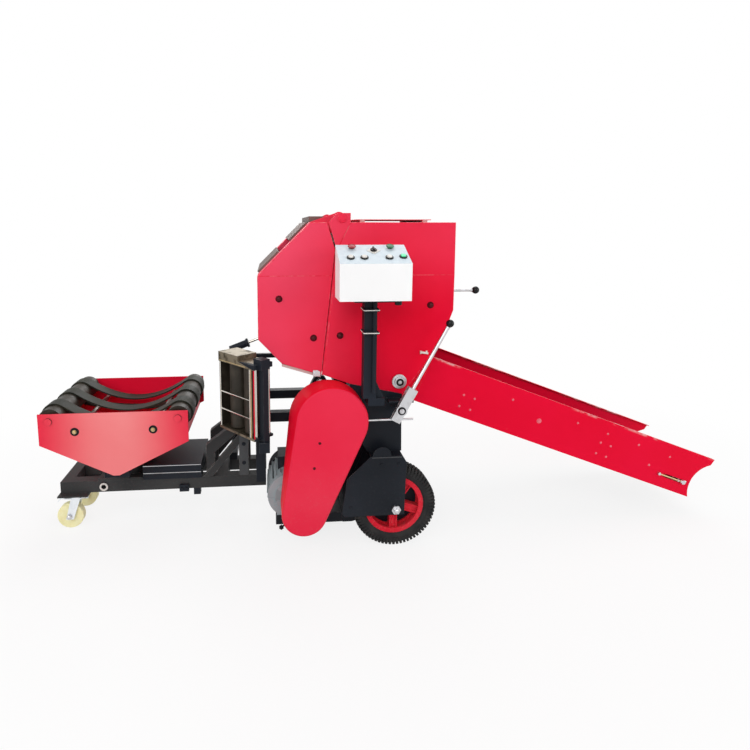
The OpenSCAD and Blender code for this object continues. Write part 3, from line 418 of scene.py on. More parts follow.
class Form:
    """One piece in the making. Parts are added in its first finish unless another is said."""

    def __init__(self, *finishes):
        self.mesh = bmesh.new()
        self.finishes = finishes

    def add(self, made, finish):
        for face in {face for vert in made for face in vert.link_faces}:
            face.material_index = self.finishes.index(finish) if finish else 0
        return self

    def prism(self, outline, y0, y1, finish=None):
        """A plate with its outline in x and z, between two places in y."""
        ends = [[self.mesh.verts.new(spot(x, y, z)) for x, z in outline] for y in (y0, y1)]
        self.mesh.faces.new(ends[0])
        self.mesh.faces.new(ends[1][::-1])
        for i in range(len(outline)):
            k = (i + 1) % len(outline)
            self.mesh.faces.new((ends[0][k], ends[0][i], ends[1][i], ends[1][k]))
        return self.add(ends[0] + ends[1], finish)

    def turned(self, profile, middle, axis, finish=None, sides=32, ring=False):
        """A turned part from pairs of radius and place along the axis; a ring is open inside."""
        turn = Vector((0, 0, 1)).rotation_difference(axis).to_matrix()
        angles = [i * math.tau / sides for i in range(sides)]
        rings, made = [], []
        for radius, along in profile:
            reach, rise = radius / 1000, along / 1000
            points = [(reach * math.cos(a), reach * math.sin(a), rise) for a in angles]
            if not radius:
                points = [(0, 0, rise)]
            hoop = [self.mesh.verts.new(middle + turn @ Vector(point)) for point in points]
            rings.append(hoop)
            made += hoop
        for a, b in zip(rings, rings[1:] + (rings[:1] if ring else [])):
            for i in range(sides):
                k = (i + 1) % sides
                corners = []
                for vert in (a[i % len(a)], a[k % len(a)], b[k % len(b)], b[i % len(b)]):
                    if vert not in corners:
                        corners.append(vert)
                if len(corners) > 2:
                    self.mesh.faces.new(corners)
        for end in () if ring else (rings[0], rings[-1]):
            if len(end) > 1:
                self.mesh.faces.new(end)
        return self.add(made, finish)

    def rod(self, start, end, radius, finish=None, sides=16):
        way = end - start
        profile = [(radius, 0), (radius, way.length * 1000)]
        return self.turned(profile, start, way.normalized(), finish, sides)

    def block(self, low, high):
        (x0, y0, z0), (x1, y1, z1) = low, high
        return self.prism([(x0, z0), (x1, z0), (x1, z1), (x0, z1)], y0, y1)

    def done(self, name, body, slot, nodes=(), bevel=TRIM_EDGE):
        bmesh.ops.recalc_face_normals(self.mesh, faces=self.mesh.faces)
        mesh = bpy.data.meshes.new(name)
        self.mesh.to_mesh(mesh)
        self.mesh.free()
        for finish in self.finishes:
            mesh.materials.append(finish)
        obj = bpy.data.objects.new(name, mesh)
        bpy.context.collection.objects.link(obj)
        settle(obj, bevel)
        belong(obj, body, nodes)


# Repeated fasteners and tread, made by geometry nodes

class Tree:
    """A geometry node tree with named inputs."""

    def __init__(self, name, sizes):
        self.tree = bpy.data.node_groups.new(name, "GeometryNodeTree")
        face = self.tree.interface
        face.new_socket("Geometry", in_out="INPUT", socket_type="NodeSocketGeometry")
        self.keys = {}
        for size, kind in sizes.items():
            self.keys[size] = face.new_socket(size, in_out="INPUT", socket_type=kind).identifier
        face.new_socket("Geometry", in_out="OUTPUT", socket_type="NodeSocketGeometry")
        self.start = self.tree.nodes.new("NodeGroupInput")
        self.end = self.tree.nodes.new("NodeGroupOutput")

    def size(self, name):
        return self.start.outputs[name]

    def node(self, kind, settings=None, inputs=None, output=0):
        made = self.tree.nodes.new(kind)
        for name, value in (settings or {}).items():
            setattr(made, name, value)
        for name, value in (inputs or {}).items():
            for part in value if isinstance(value, list) else [value]:
                if isinstance(part, bpy.types.NodeSocket):
                    self.tree.links.new(part, made.inputs[name])
                else:
                    made.inputs[name].default_value = part
        return made.outputs[output]

    def math(self, operation, first, second):
        return self.node("ShaderNodeMath", {"operation": operation}, {0: first, 1: second})

    def times(self, first, second):
        return self.math("MULTIPLY", first, second)

    def close(self, geometry):
        whole = self.node("GeometryNodeRealizeInstances", None, {"Geometry": geometry})
        coated = self.node("GeometryNodeSetMaterial", None, {
            "Geometry": whole, "Material": self.size("Finish")})
        self.tree.links.new(coated, self.end.inputs[0])
        return self

    def make(self, name, mesh, values, body, slot):
        obj = bpy.data.objects.new(name, mesh)
        bpy.context.collection.objects.link(obj)
        maker = obj.modifiers.new("maker", "NODES")
        maker.node_group = self.tree
        for size, value in values.items():
            maker[self.keys[size]] = value
        graph = bpy.context.evaluated_depsgraph_get()
        obj.data = bpy.data.meshes.new_from_object(obj.evaluated_get(graph), depsgraph=graph)
        obj.modifiers.clear()
        settle(obj, 0)
        belong(obj, body)


HEX = 6
STUD_SIZES = {"Head": "NodeSocketFloat", "Rise": "NodeSocketFloat", "Finish": "NodeSocketMaterial"}


def on_points(tree, head):
    """One head on each point, turned to face the point's way and scaled by the point's size."""
    named = "GeometryNodeInputNamedAttribute"
    facing = tree.node(named, {"data_type": "FLOAT_VECTOR"}, {"Name": "facing"})
    size = tree.node(named, {"data_type": "FLOAT"}, {"Name": "size"})
    turn = tree.node("FunctionNodeAlignRotationToVector", {"axis": "Z"}, {"Vector": facing})
    return tree.node("GeometryNodeInstanceOnPoints", None, {
        "Points": tree.start.outputs[0], "Instance": head, "Rotation": turn, "Scale": size})


def raised(tree, geometry, height):
    lift = tree.node("ShaderNodeCombineXYZ", None, {"Z": height})
    return tree.node("GeometryNodeTransform", None, {"Geometry": geometry, "Translation": lift})


def cone(tree, sides, bottom, top, height):
    """A cone with radii in shares of the head and a height in shares of the rise."""
    head, rise = tree.size("Head"), tree.size("Rise")
    return tree.node("GeometryNodeMeshCone", None, {
        "Vertices": sides, "Radius Top": tree.times(head, top),
        "Radius Bottom": tree.times(head, bottom), "Depth": tree.times(rise, height)})


def hex_bolt_tree():
    """A washer, a six-sided head and the chamfer on its top."""
    tree = Tree("hex_bolts", STUD_SIZES)
    head, rise = tree.size("Head"), tree.size("Rise")
    under = cone(tree, 20, 1.55, 1.45, 0.3)
    nut = raised(tree, tree.node("GeometryNodeMeshCylinder", None, {
        "Vertices": HEX, "Radius": head, "Depth": tree.times(rise, 0.6)}), tree.times(rise, 0.5))
    chamfer = raised(tree, cone(tree, 12, 0.95, 0.72, 0.2), tree.times(rise, 0.8))
    joined = tree.node("GeometryNodeJoinGeometry", None, {"Geometry": [under, nut, chamfer]})
    return tree.close(on_points(tree, joined))


def dome_tree():
    """A round head on a low collar."""
    tree = Tree("domes", STUD_SIZES)
    head, rise = tree.size("Head"), tree.size("Rise")
    collar = cone(tree, 20, 1.2, 1.05, 0.25)
    ball = tree.node("GeometryNodeMeshUVSphere", None, {
        "Segments": 20, "Rings": 10, "Radius": head})
    squash = tree.node("ShaderNodeCombineXYZ", None, {
        "X": 1.0, "Y": 1.0, "Z": tree.math("DIVIDE", rise, head)})
    ball = tree.node("GeometryNodeTransform", None, {"Geometry": ball, "Scale": squash})
    joined = tree.node("GeometryNodeJoinGeometry", None, {"Geometry": [collar, ball]})
    return tree.close(on_points(tree, joined))


HEX_BOLTS = hex_bolt_tree()
DOMES = dome_tree()


def studs(tree, name, places, head, rise, finish, body, slot):
    """Fasteners on one body: each place has a point, the way it faces and its size."""
    mesh = bpy.data.meshes.new(name)
    mesh.from_pydata([place[0] for place in places], [], [])
    mesh.attributes.new("facing", "FLOAT_VECTOR", "POINT")
    mesh.attributes.new("size", "FLOAT", "POINT")
    for i, place in enumerate(places):
        mesh.attributes["facing"].data[i].vector = place[1]
        mesh.attributes["size"].data[i].value = place[2] if len(place) > 2 else 1.0
    tree.make(name, mesh, {"Head": head / 1000, "Rise": rise / 1000, "Finish": finish}, body, slot)


def tread_tree():
    """Blocks round a wheel in staggered rows, with lugs on both shoulders."""
    tree = Tree("tyre_tread", {
        "Radius": "NodeSocketFloat", "Half width": "NodeSocketFloat", "Blocks": "NodeSocketInt",
        "Middle": "NodeSocketVector", "Finish": "NodeSocketMaterial"})
    radius, half, count = tree.size("Radius"), tree.size("Half width"), tree.size("Blocks")
    pitch = tree.math("DIVIDE", math.tau, count)
    rows = []
    # Place across and turn, in shares, then the block's length, width, depth and drop, in metres
    for across, turn, length, width, depth, drop in (
            (-0.24, 0.0, 0.0130, 0.020, 0.011, 0.0055), (0.24, 0.5, 0.0130, 0.020, 0.011, 0.0055),
            (-0.72, 0.5, 0.0140, 0.021, 0.016, 0.0085), (0.72, 0.0, 0.0140, 0.021, 0.016, 0.0085),
            (-0.93, 0.5, 0.0115, 0.010, 0.022, 0.0235), (0.93, 0.0, 0.0115, 0.010, 0.022, 0.0235)):
        ring = tree.node("GeometryNodeMeshCircle", None, {
            "Vertices": count, "Radius": tree.math("SUBTRACT", radius, drop)})
        ring = tree.node("GeometryNodeTransform", None, {
            "Geometry": ring,
            "Translation": tree.node("ShaderNodeCombineXYZ", None, {"Z": tree.times(half, across)}),
            "Rotation": tree.node("ShaderNodeCombineXYZ", None, {"Z": tree.times(pitch, turn)})})
        here = tree.node("GeometryNodeInputPosition")
        outward = tree.node("ShaderNodeVectorMath", {"operation": "MULTIPLY"}, {
            0: here, 1: (1, 1, 0)})
        block = tree.node("GeometryNodeMeshCube", None, {"Size": (depth, length, width)})
        normal = tree.node("GeometryNodeInputNormal")
        facing = tree.node("ShaderNodeSeparateXYZ", None, {0: normal}, "X")
        crown = tree.node("FunctionNodeCompare", {
            "data_type": "FLOAT", "operation": "GREATER_THAN"}, {0: facing, 1: 0.5})
        block = tree.node("GeometryNodeScaleElements", None, {
            "Geometry": block, "Selection": crown, "Scale": 0.8})
        upright = tree.node("FunctionNodeAlignRotationToVector", {
            "axis": "X", "pivot_axis": "Z"}, {"Vector": outward})
        rows.append(tree.node("GeometryNodeInstanceOnPoints", None, {
            "Points": ring, "Instance": block, "Rotation": upright}))
    joined = tree.node("GeometryNodeJoinGeometry", None, {"Geometry": rows})
    stood = tree.node("GeometryNodeTransform", None, {
        "Geometry": joined, "Rotation": (math.pi / 2, 0, 0), "Translation": tree.size("Middle")})
    return tree.close(stood)


# The solids, dressed

# Where a solid's finish changes, in metres
GUARD_FACE_Y = spot(0, -510, 0).y
RAMP_PLATES_X = (spot(-594.5, 0, 0).x, spot(-541.5, 0, 0).x)
RAMP_PLATES_OUT = 0.1
BEARINGS_OUT = (0.169, 0.211)
TIE_RODS_Z = 0.5
ROLLER_ENDS_OUT = 0.309
LID_Z = 1.6225
FAN_COVER_Y = spot(0, -139, 0).y
TERMINAL_BOX_Z = 0.386
FILM_POST_ALONG = 0.05
FILM_TOP_Z = 0.946
FILM_FLOOR_Z = (0.603, 0.616)
PISTON_X, PISTON_Z = spot(-551, 0, 0).x, 0.894
PANEL_Z, GLAND_Z = 1.445, 1.2795
film_way = Vector((math.cos(FILM_TURN), math.sin(FILM_TURN), 0))
film_start = film_spot(0, 0, 0)


def off_middle(point):
    return abs(point.y - MIDDLE_Y)


def ramp_plate(point):
    return RAMP_PLATES_X[0] < point.x < RAMP_PLATES_X[1] and off_middle(point) > RAMP_PLATES_OUT


def film_housing(point):
    """The film stretcher's gear housing and its floor, past the post."""
    past_post = (point - film_start).dot(film_way) > FILM_POST_ALONG
    return past_post and (point.z > FILM_TOP_Z or FILM_FLOOR_Z[0] < point.z < FILM_FLOOR_Z[1])


def box_part(point):
    """The control box, its sloping panel or the gland under it."""
    return 1 if point.z > PANEL_Z else 2 if point.z < GLAND_Z else 0


def both(*stems):
    return [stem + "_" + word for stem in stems for word in SIDE_NAMES.values()]


def plain(finish, *nodes, bevel=EDGE):
    for node in nodes:
        dress(node, finish, bevel=bevel)


plain(RED, *both("side_plate"), "hinge_brackets", *both("gate_plate"))
for rim in both("rim"):
    dress(rim, RIM_RED, roll=math.radians(SPOKE_TURN))
plain(RED, *both("body_cover", "gate_cover"), bevel=SOFT_EDGE)
# Painted light: the guard's side walls take the stronger red and its face the paler one
dress("belt_guard", GUARD_RED, GUARD_SIDE_PAINTED_LIGHT, bevel=0, choose=lambda p: p.y > GUARD_FACE_Y)
plain(CHUTE_RED, *both("chute_wall"), "chute_floor", bevel=FINE_EDGE)
# Painted light: the pan and the plates' inner faces in the brighter copy of the red
plain(TABLE_INSIDE_LIT, "table_pan")
for plate in both("table_plate"):
    dress(plate, TABLE_RED, TABLE_INSIDE_LIT, choose=lambda p: off_middle(p) < PLATE_INSIDE)
plain(BLACK, "main_frame", "motor_base", bevel=SOFT_EDGE)
plain(FRAME_BLACK, "wrapper_frame", "turntable_base", bevel=SOFT_EDGE)
plain(BLACK, *both("wheel_bracket"), "turntable_drive")
plain(STEEL, "axle", "clutch_lever", "feed_lever", "roller_hub", bevel=FINE_EDGE)
plain(BRIGHT_ZINC, *both("castor_fork"), bevel=FINE_EDGE)
plain(WORN_STEEL, "front_rollers", "gate_rollers", "chute_rollers", bevel=FINE_EDGE)
plain(SLAT_BROWN, "gate_slats", bevel=FINE_EDGE)
plain(CHROME, "film_rods", bevel=0)
plain(BELT, "table_belts", "chute_slats", bevel=FINE_EDGE)
plain(FILM_RUBBER, "film_roller_a", "film_roller_b", bevel=FINE_EDGE)
plain(YELLOW, *both("castor_wheel"), bevel=SOFT_EDGE)
dress("transfer_ramp", FRAME_BLACK, DARK_GREY, bevel=SOFT_EDGE, choose=ramp_plate)
dress("countershaft", STEEL, BLACK,
      choose=lambda p: BEARINGS_OUT[0] < off_middle(p) < BEARINGS_OUT[1])
dress("table_frame", BLACK, WORN_STEEL, choose=lambda p: p.z > TIE_RODS_Z)
dress("table_rollers", FILM_RUBBER, TABLE_RED, bevel=FINE_EDGE,
      choose=lambda p: off_middle(p) > ROLLER_ENDS_OUT)
dress("front_shell", RED, LID_BEIGE, choose=lambda p: p.z > LID_Z)
# Painted shade: the motor's fan end, past FAN_COVER_Y, is finished black for its shadow side; the
# terminal box on top is black too
dress("motor", GREY, BLACK, bevel=FINE_EDGE,
      choose=lambda p: p.y > FAN_COVER_Y or p.z > TERMINAL_BOX_Z)
dress("film_stand", BLACK, OLIVE, choose=film_housing)
dress("film_cutter", BLACK, CHROME, choose=lambda p: p.z > PISTON_Z and p.x > PISTON_X)
dress("control_box", WHITE, PANEL, BALL_BLACK, choose=box_part)
plain(BLACK, "control_post", bevel=FINE_EDGE)

# Wheels

TREAD = tread_tree()
TREAD_SIZES = {"Radius": 0.210, "Half width": 0.045, "Blocks": 68}
TYRE_SIDES = 72
# Profiles are pairs of radius and place along the axis
CARCASS = [(150, -33), (157, -40), (170, -44.5), (186, -44.5), (197, -40), (202.5, -28), (203.5, 0),
           (202.5, 28), (197, 40), (186, 44.5), (170, 44.5), (157, 40), (150, 33)]
BEAD_OUT = 41.5
BEAD = [(171, -4.5), (177, -4.5), (177, 4.5), (171, 4.5)]
SPOKES, SPOKE_STEP = 5, 72
FIRST_SPOKE, FIRST_BOLT = 90 + SPOKE_TURN, 54 + SPOKE_TURN
RIB = ((40, -3.5), (140, -3.5), (140, 3.5), (40, 3.5))
RIB_OFF, RIB_DEPTH = 16.5, (13.5, 20)
BOLT_CIRCLE = 31

for side, word in SIDE_NAMES.items():
    hub = spot(AXLE_X, side * WHEEL_OUT, AXLE_Z)
    body = "wheel_" + word
    carcass = Form(TYRE).turned(CARCASS, hub, FACES[1], sides=TYRE_SIDES, ring=True)
    for y in (-BEAD_OUT, BEAD_OUT):
        bead = [(radius, y + along) for radius, along in BEAD]
        carcass.turned(bead, hub, FACES[1], sides=TYRE_SIDES, ring=True)
    carcass.done("tyre_carcass_" + word, body, "tyre_rubber", ("tyre_" + word,), 0)
    TREAD.make("tyre_tread_" + word, bpy.data.meshes.new("tread_start_" + word),
               {**TREAD_SIZES, "Middle": hub, "Finish": TYRE}, body, "tyre_rubber")
    ribs = Form(RIM_RED)
    for i in range(SPOKES):
        turn = math.radians(FIRST_SPOKE + i * SPOKE_STEP)
        c, s = math.cos(turn), math.sin(turn)
        for off in (-RIB_OFF, RIB_OFF):
            outline = [(AXLE_X + r * c - (off + w) * s, AXLE_Z + r * s + (off + w) * c)
                       for r, w in RIB]
            for face in SIDES:
                low, high = span(face, *RIB_DEPTH)
                ribs.prism(outline, side * WHEEL_OUT + low, side * WHEEL_OUT + high)
    ribs.done("rim_ribs_" + word, body, "red_paint")
    turns = [math.radians(FIRST_BOLT + SPOKE_STEP * i) for i in range(SPOKES)]
    studs(HEX_BOLTS, "hub_bolts_" + word, [
        (spot(AXLE_X + BOLT_CIRCLE * math.cos(turn), side * WHEEL_HUB_OUT,
              AXLE_Z + BOLT_CIRCLE * math.sin(turn)), FACES[side]) for turn in turns],
        5.5, 7, STEEL, body, "red_paint")

# Knobs and buttons

BALL = [(0, 19), (5, 18.3), (10, 16.2), (14, 12.8), (17, 8.5), (18.6, 4), (19, 0), (18.6, -4),
        (17, -8.5), (14, -12.8), (11, -15.5), (10.5, -18), (9, -19)]
PIVOT_X, PIVOT_Z = 205, 729
LEVER_LEAN, LEVER_LENGTH = math.radians(28.5), 0.476
lever_way = Vector((math.sin(LEVER_LEAN), 0, math.cos(LEVER_LEAN)))
lever_end = spot(PIVOT_X, -480, PIVOT_Z) + lever_way * LEVER_LENGTH
feed_way, feed_end = Vector((1, 0, 0)), spot(621, -300, 1284)
knobs = Form(BALL_BLACK, STEEL)
for end, way, collar in ((lever_end, lever_way, [(10.5, -26), (10.5, -18.5)]),
                         (feed_end, feed_way, [(8.5, -24), (8.5, -18.5)])):
    knobs.turned(BALL, end, way).turned(collar, end, way, STEEL)
knobs.done("ball_knobs", "baler", "black_plastic", ("lever_knobs",), 0)

PANEL_RISE, PANEL_DEPTH = 76, 160
PANEL_SLOPE = math.atan2(PANEL_RISE, PANEL_DEPTH)
PANEL_RUN = math.hypot(PANEL_RISE, PANEL_DEPTH)
PANEL_EDGE = (-640, 1444)
BOX_X, BOX_WIDTH = 42, 318
panel_out = Vector((0, -math.sin(PANEL_SLOPE), math.cos(PANEL_SLOPE)))
along_panel = Vector((0, math.cos(PANEL_SLOPE), math.sin(PANEL_SLOPE)))


def panel_spot(across, share):
    """A place on the control panel, in shares of its width and of its slope."""
    along = share * PANEL_RUN
    return spot(BOX_X + across * BOX_WIDTH, PANEL_EDGE[0] + along * math.cos(PANEL_SLOPE),
                PANEL_EDGE[1] + along * math.sin(PANEL_SLOPE))


buttons = Form(BALL_BLACK, PALE_NYLON, BUTTON_RED, BUTTON_GREEN, LAMP_GREEN, STEEL)
BUTTON_SIDES = 28
BEZEL = [(18, 0), (18, 4), (16.5, 6), (12.5, 6), (12.5, 0.5)]
CAP = [(12, 0), (12, 8.5), (10.5, 10.5), (0, 11)]
# Each button's place on the panel and its finish
for across, share, cap in ((-0.33, 0.30, PALE_NYLON), (-0.14, 0.30, PALE_NYLON),
                           (0.21, 0.30, PALE_NYLON), (0.41, 0.34, LAMP_GREEN)):
    place = panel_spot(across, share)
    buttons.turned(BEZEL, place, panel_out, BALL_BLACK, BUTTON_SIDES, True)
    buttons.turned(CAP, place, panel_out, cap, BUTTON_SIDES)
MUSHROOM_RING = [(15, 0), (15, 3), (13, 4), (11, 4), (11, 0)]
MUSHROOM = [(10, 0), (10, 6), (17, 8), (18.5, 11), (17, 14), (11, 16), (0, 16.6)]
for across, share, cap in ((-0.28, 0.80, BUTTON_RED), (0.27, 0.80, BUTTON_GREEN)):
    place = panel_spot(across, share)
    buttons.turned(MUSHROOM_RING, place, panel_out, STEEL, BUTTON_SIDES, True)
    buttons.turned(MUSHROOM, place, panel_out, cap, BUTTON_SIDES)
SELECTOR_PLATE = [(31, 0), (31, 2.5), (29.5, 3.5)]
SELECTOR_KNOB = [(15, 3), (15, 8), (13, 10), (0, 10.2)]
selector = panel_spot(0.02, 0.66)
grip_half, grip_lift = along_panel * 0.014, panel_out * 0.012
buttons.turned(SELECTOR_PLATE, selector, panel_out, PALE_NYLON, 4)
buttons.turned(SELECTOR_KNOB, selector, panel_out, BALL_BLACK, BUTTON_SIDES)
buttons.rod(selector - grip_half + grip_lift, selector + grip_half + grip_lift, 4.5)
buttons.done("panel_buttons", "baler", "black_plastic", ("control_buttons",), 0)

# Fasteners and trim

def side_studs(tree, name, places, y, head, rise, finish, body, slot, sides=SIDES):
    """Fasteners at places in x and z, on both sides unless said, facing outwards."""
    studs(tree, name, [(spot(x, side * y, z), FACES[side]) for side in sides for x, z in places],
          head, rise, finish, body, slot)


def washer(form, middle, facing, inner, outer, thick, finish=None):
    profile = [(inner, 0), (outer, 0), (outer, thick), (inner, thick)]
    form.turned(profile, middle, facing, finish, ring=True)


side_studs(DOMES, "gate_knobs", [(-374, 1263), (-210, 1072)], CASE_OUT, 14, 13, KNOB_DARK,
           "tailgate", "red_paint")
side_studs(DOMES, "body_knobs", [(-82, 1082), (359, 1225)], CASE_OUT, 14, 13, KNOB_DARK,
           "baler", "red_paint")
side_studs(DOMES, "hinge_caps", [(-75, 1640)], CASE_OUT, 17, 5, GUARD_RED, "baler", "red_paint")
side_studs(DOMES, "axle_caps", [(AXLE_X, AXLE_Z)], AXLE_END, 12, 9, STEEL, "baler", "steel")
side_studs(HEX_BOLTS, "guard_bolts", [(-190, 589), (-216, 465)], GUARD_OUT, 4.5, 4, KNOB_DARK,
           "baler", "red_paint", (-1,))
side_studs(HEX_BOLTS, "plate_bolts", [(-568, 437), (-568, 330)], RAMP_OUT, 7, 6, BLACK,
           "baler", "black_paint")
side_studs(HEX_BOLTS, "bracket_bolts", [(120, 445), (-30, 225), (205, 445)], BRACKET_OUT, 6, 5,
           BLACK, "baler", "black_paint")
CASTOR_X, CASTOR_Y, CASTOR_Z, FORK_HALF = -1495, 112, 68, 36
for side, word in SIDE_NAMES.items():
    studs(HEX_BOLTS, "castor_nuts_" + word, [
        (spot(CASTOR_X, side * CASTOR_Y + out * FORK_HALF, CASTOR_Z), FACES[out]) for out in SIDES],
        9, 8, STEEL, "castor_" + word, "steel")

# Stay bolt low on the belt guard's side
GUARD_FOOT, STAY_Y = (-261.5, 232), -470
STAY_WAY = math.radians(217)


def stay_spot(out):
    x, z = GUARD_FOOT
    return spot(x + out * math.cos(STAY_WAY), STAY_Y, z + out * math.sin(STAY_WAY))


stay = Form(BLACK)
stay.rod(stay_spot(106), stay_spot(152), 5)
stay.rod(stay_spot(135), stay_spot(147), 12, sides=HEX)
stay.rod(stay_spot(111), stay_spot(116), 13)
stay.done("guard_stay", "baler", "black_paint", (), RING_EDGE)

# The seam between body and tailgate, closed by a strip on the body
SEAM = [(-169, 888), (-164, 888), (-99, 1493), (-104, 1493)]
for side, word in SIDE_NAMES.items():
    strip = Form(RED).prism(SEAM, *span(side, 388, 397))
    strip.done("seam_strip_" + word, "baler", "red_paint", (), 0)

# A thin strip in the red parts' pale edge tone along the covers' crease, a painted highlight on the
# fold
CREASE_Z = 1372
for name, body, start, end in (("gate_crease", "tailgate", -474, -122),
                               ("body_crease", "baler", -110, 474)):
    line = Form(EDGE_OF[RED])
    for side in SIDES:
        low_y, high_y = span(side, CASE_OUT - 1, CASE_OUT + 0.7)
        line.block((start, low_y, CREASE_Z - 2), (end, high_y, CREASE_Z + 1))
    line.done(name, body, "red_paint", (), 0)

# Lock bar under the tailgate's lower edge, its catch, and a grip on the body
LOCK_BAR = [(-363, 934), (-176, 875.5), (-176, 888.5), (-363, 947)]
CATCH = [(-214, 884), (-178, 884), (-178, 906), (-190, 914), (-214, 914)]
for side, word in SIDE_NAMES.items():
    bar = Form(LID_BEIGE, STEEL)
    bar.prism(LOCK_BAR, *span(side, 396, 380))
    bar.prism(CATCH, *span(side, CASE_OUT, CASE_OUT + 8), STEEL)
    pin_start, pin_end = (spot(-204, side * (CASE_OUT + out), 900) for out in (8, 16))
    bar.rod(pin_start, pin_end, 6, STEEL)
    bar.done("gate_lock_" + word, "tailgate", "steel")
grip = Form(PALE_NYLON)
grip.block((313, -408, 984), (320, -400, 1000)).block((342, -408, 984), (349, -400, 1000))
grip.rod(spot(311, -411, 995), spot(351, -411, 988), 5.5)
grip.done("body_grip", "baler", "pale_paint")

# Faces of the roller's hub and of the lever's pivot; the black ring on the hub's boss is painted
# shade for the recess round its bolt
ROLLER_X, ROLLER_Z = 212, 848
hub_face = Form(BALL_BLACK, STEEL)
# Painted shade: a black ring for the hub's recess
washer(hub_face, spot(ROLLER_X, -422, ROLLER_Z), FACES[-1], 9.5, 19, 1.5)
washer(hub_face, spot(ROLLER_X, -410, ROLLER_Z), FACES[-1], 25, 33, 1.5, STEEL)
washer(hub_face, spot(PIVOT_X, -494, PIVOT_Z), FACES[-1], 12.5, 27, 4, STEEL)
washer(hub_face, spot(PIVOT_X, -498, PIVOT_Z), FACES[-1], 12.5, 20, 2)
hub_face.done("pivot_rings", "baler", "steel", (), RING_EDGE)
studs(HEX_BOLTS, "pivot_bolts", [
    (spot(ROLLER_X, -422, ROLLER_Z), FACES[-1]), (spot(PIVOT_X, -504, PIVOT_Z), FACES[-1], 1.1)],
    6, 8, STEEL, "baler", "steel")

# Conveyor: single rivets and fours, a bolt, and the tension screw in its slot
RIVETS = [(631, 182), (1029, 183), (1219, 183), (1417, 184), (1622, 180), (1525, 98)]
RIVET_FOURS, FOUR_STEP = [(398, 85), (1233, 92)], 32
rivets = RIVETS + [
    (s + a * FOUR_STEP, p + b * FOUR_STEP) for s, p in RIVET_FOURS for a in SIDES for b in SIDES]
studs(DOMES, "chute_rivets", [
    (chute_spot(s, side * WALL_OUT, p), FACES[side]) for side in SIDES for s, p in rivets],
    5.5, 3.5, RIVET_PINK, "baler", "red_paint")
studs(HEX_BOLTS, "chute_bolts", [
    (chute_spot(816, side * WALL_OUT, 122), FACES[side]) for side in SIDES],
    9, 7, RIVET_PINK, "baler", "red_paint")
SCREW_OUT, SCREW_UP = WALL_OUT + 6, 72
SCREW_START, SCREW_END = 1600, 1772
tension = Form(BRASS, STEEL)


def screw_spot(along, y):
    return chute_spot(along, y, SCREW_UP)


for side in SIDES:
    line_y, wall_y = side * SCREW_OUT, side * WALL_OUT
    tension.rod(screw_spot(SCREW_START, line_y), screw_spot(SCREW_END, line_y), 4.5)
    tension.rod(screw_spot(SCREW_START, wall_y), screw_spot(SCREW_START, side * 281), 9, STEEL, HEX)
    for nut in (1718, 1738):
        tension.rod(screw_spot(nut, line_y), screw_spot(nut + 8, line_y), 9, STEEL, HEX)
    tension.rod(screw_spot(1755, wall_y), screw_spot(1755, side * 284), 13, STEEL, HEX)
tension.done("tension_screws", "baler", "steel", (), RING_EDGE)

# Wrapping table: bolts in dark rings, and an apron from the pan up to each roller
TIE_X, TIE_Z, BOLT_LIFT = 188, 606, 0.004
table_trim = Form(BALL_BLACK)
tie_ends = [(spot(WRAP_X + a * TIE_X, side * TABLE_OUT, TIE_Z), side)
            for a in SIDES for side in SIDES]
for place, side in tie_ends:
    washer(table_trim, place, FACES[side], 11.5, 21, 2)
table_trim.done("tie_rings", "turntable", "black_plastic", (), RING_EDGE)
studs(HEX_BOLTS, "tie_bolts", [
    (place + FACES[side] * BOLT_LIFT, FACES[side]) for place, side in tie_ends],
    7, 8, BRASS, "turntable", "steel")
apron = Form(TABLE_RED)
for a in SIDES:
    low_x, high_x = span(a, 334, 338)
    apron.block((WRAP_X + low_x, -304, 528), (WRAP_X + high_x, 304, 604))
apron.done("table_apron", "turntable", "red_paint")

# Wrapper frame: bright lines round the drive box, the upper one a painted highlight on its top
# front edge, clamps on the beam, rings on the tow bushes
drive_line = Form(STEEL)
drive_line.block((-1103, -139, 291.5), (-799, -134, 294.5))
# Painted highlight: a bright strip along the drive box's top front edge
drive_line.block((-1103, -141, 333), (-799, -139.5, 336))
drive_line.done("drive_line", "baler", "steel", (), 0)
clamps = Form(BLACK)
clamps.block((-915, -146, 186), (-865, -130, 224)).block((-842, -128, 158), (-806, -92, 196))
for x in (-902, -878):
    clamps.rod(spot(x, -152, 205), spot(x, -146, 205), 8, sides=HEX)
clamps.done("beam_clamps", "baler", "black_paint")
bushes = Form(PALE_NYLON)
for side in SIDES:
    washer(bushes, spot(-1312, side * 136, 227), FACES[side], 13, 22, 3)
bushes.done("tow_rings", "baler", "pale_paint", (), RING_EDGE)

# Running gear: a dark dish behind the spokes, painted shade for the inside of the wheel, and a
# gusset beside each wheel
DISH = [(30, 0), (60, 2), (120, 2), (141, 8), (141, 11), (119, 5), (60, 5), (30, 3)]
DISH_OUT = 366
GUSSET = [(-56, 232), (-50, 232), (62, 487), (62, 560), (-56, 560)]
for side, word in SIDE_NAMES.items():
    middle = spot(AXLE_X, side * DISH_OUT, AXLE_Z)
    dish = Form(BLACK).turned(DISH, middle, FACES[-side], sides=48, ring=True)
    dish.done("rim_dish_" + word, "wheel_" + word, "black_paint", (), 0)
    gusset = Form(BLACK).prism(GUSSET, *span(side, 333, 328))
    gusset.done("gusset_" + word, "baler", "black_paint")

# A paler strip along the top edge of each wheel bracket, a painted highlight on that edge
bracket_highlight = Form(DARK_GREY)
for side in SIDES:
    low_y, high_y = span(side, BRACKET_OUT - 1, BRACKET_OUT + 2.5)
    bracket_highlight.block((72, low_y, 479), (221, high_y, 484))
bracket_highlight.done("bracket_highlight_strip", "baler", "black_paint", (), RING_EDGE)

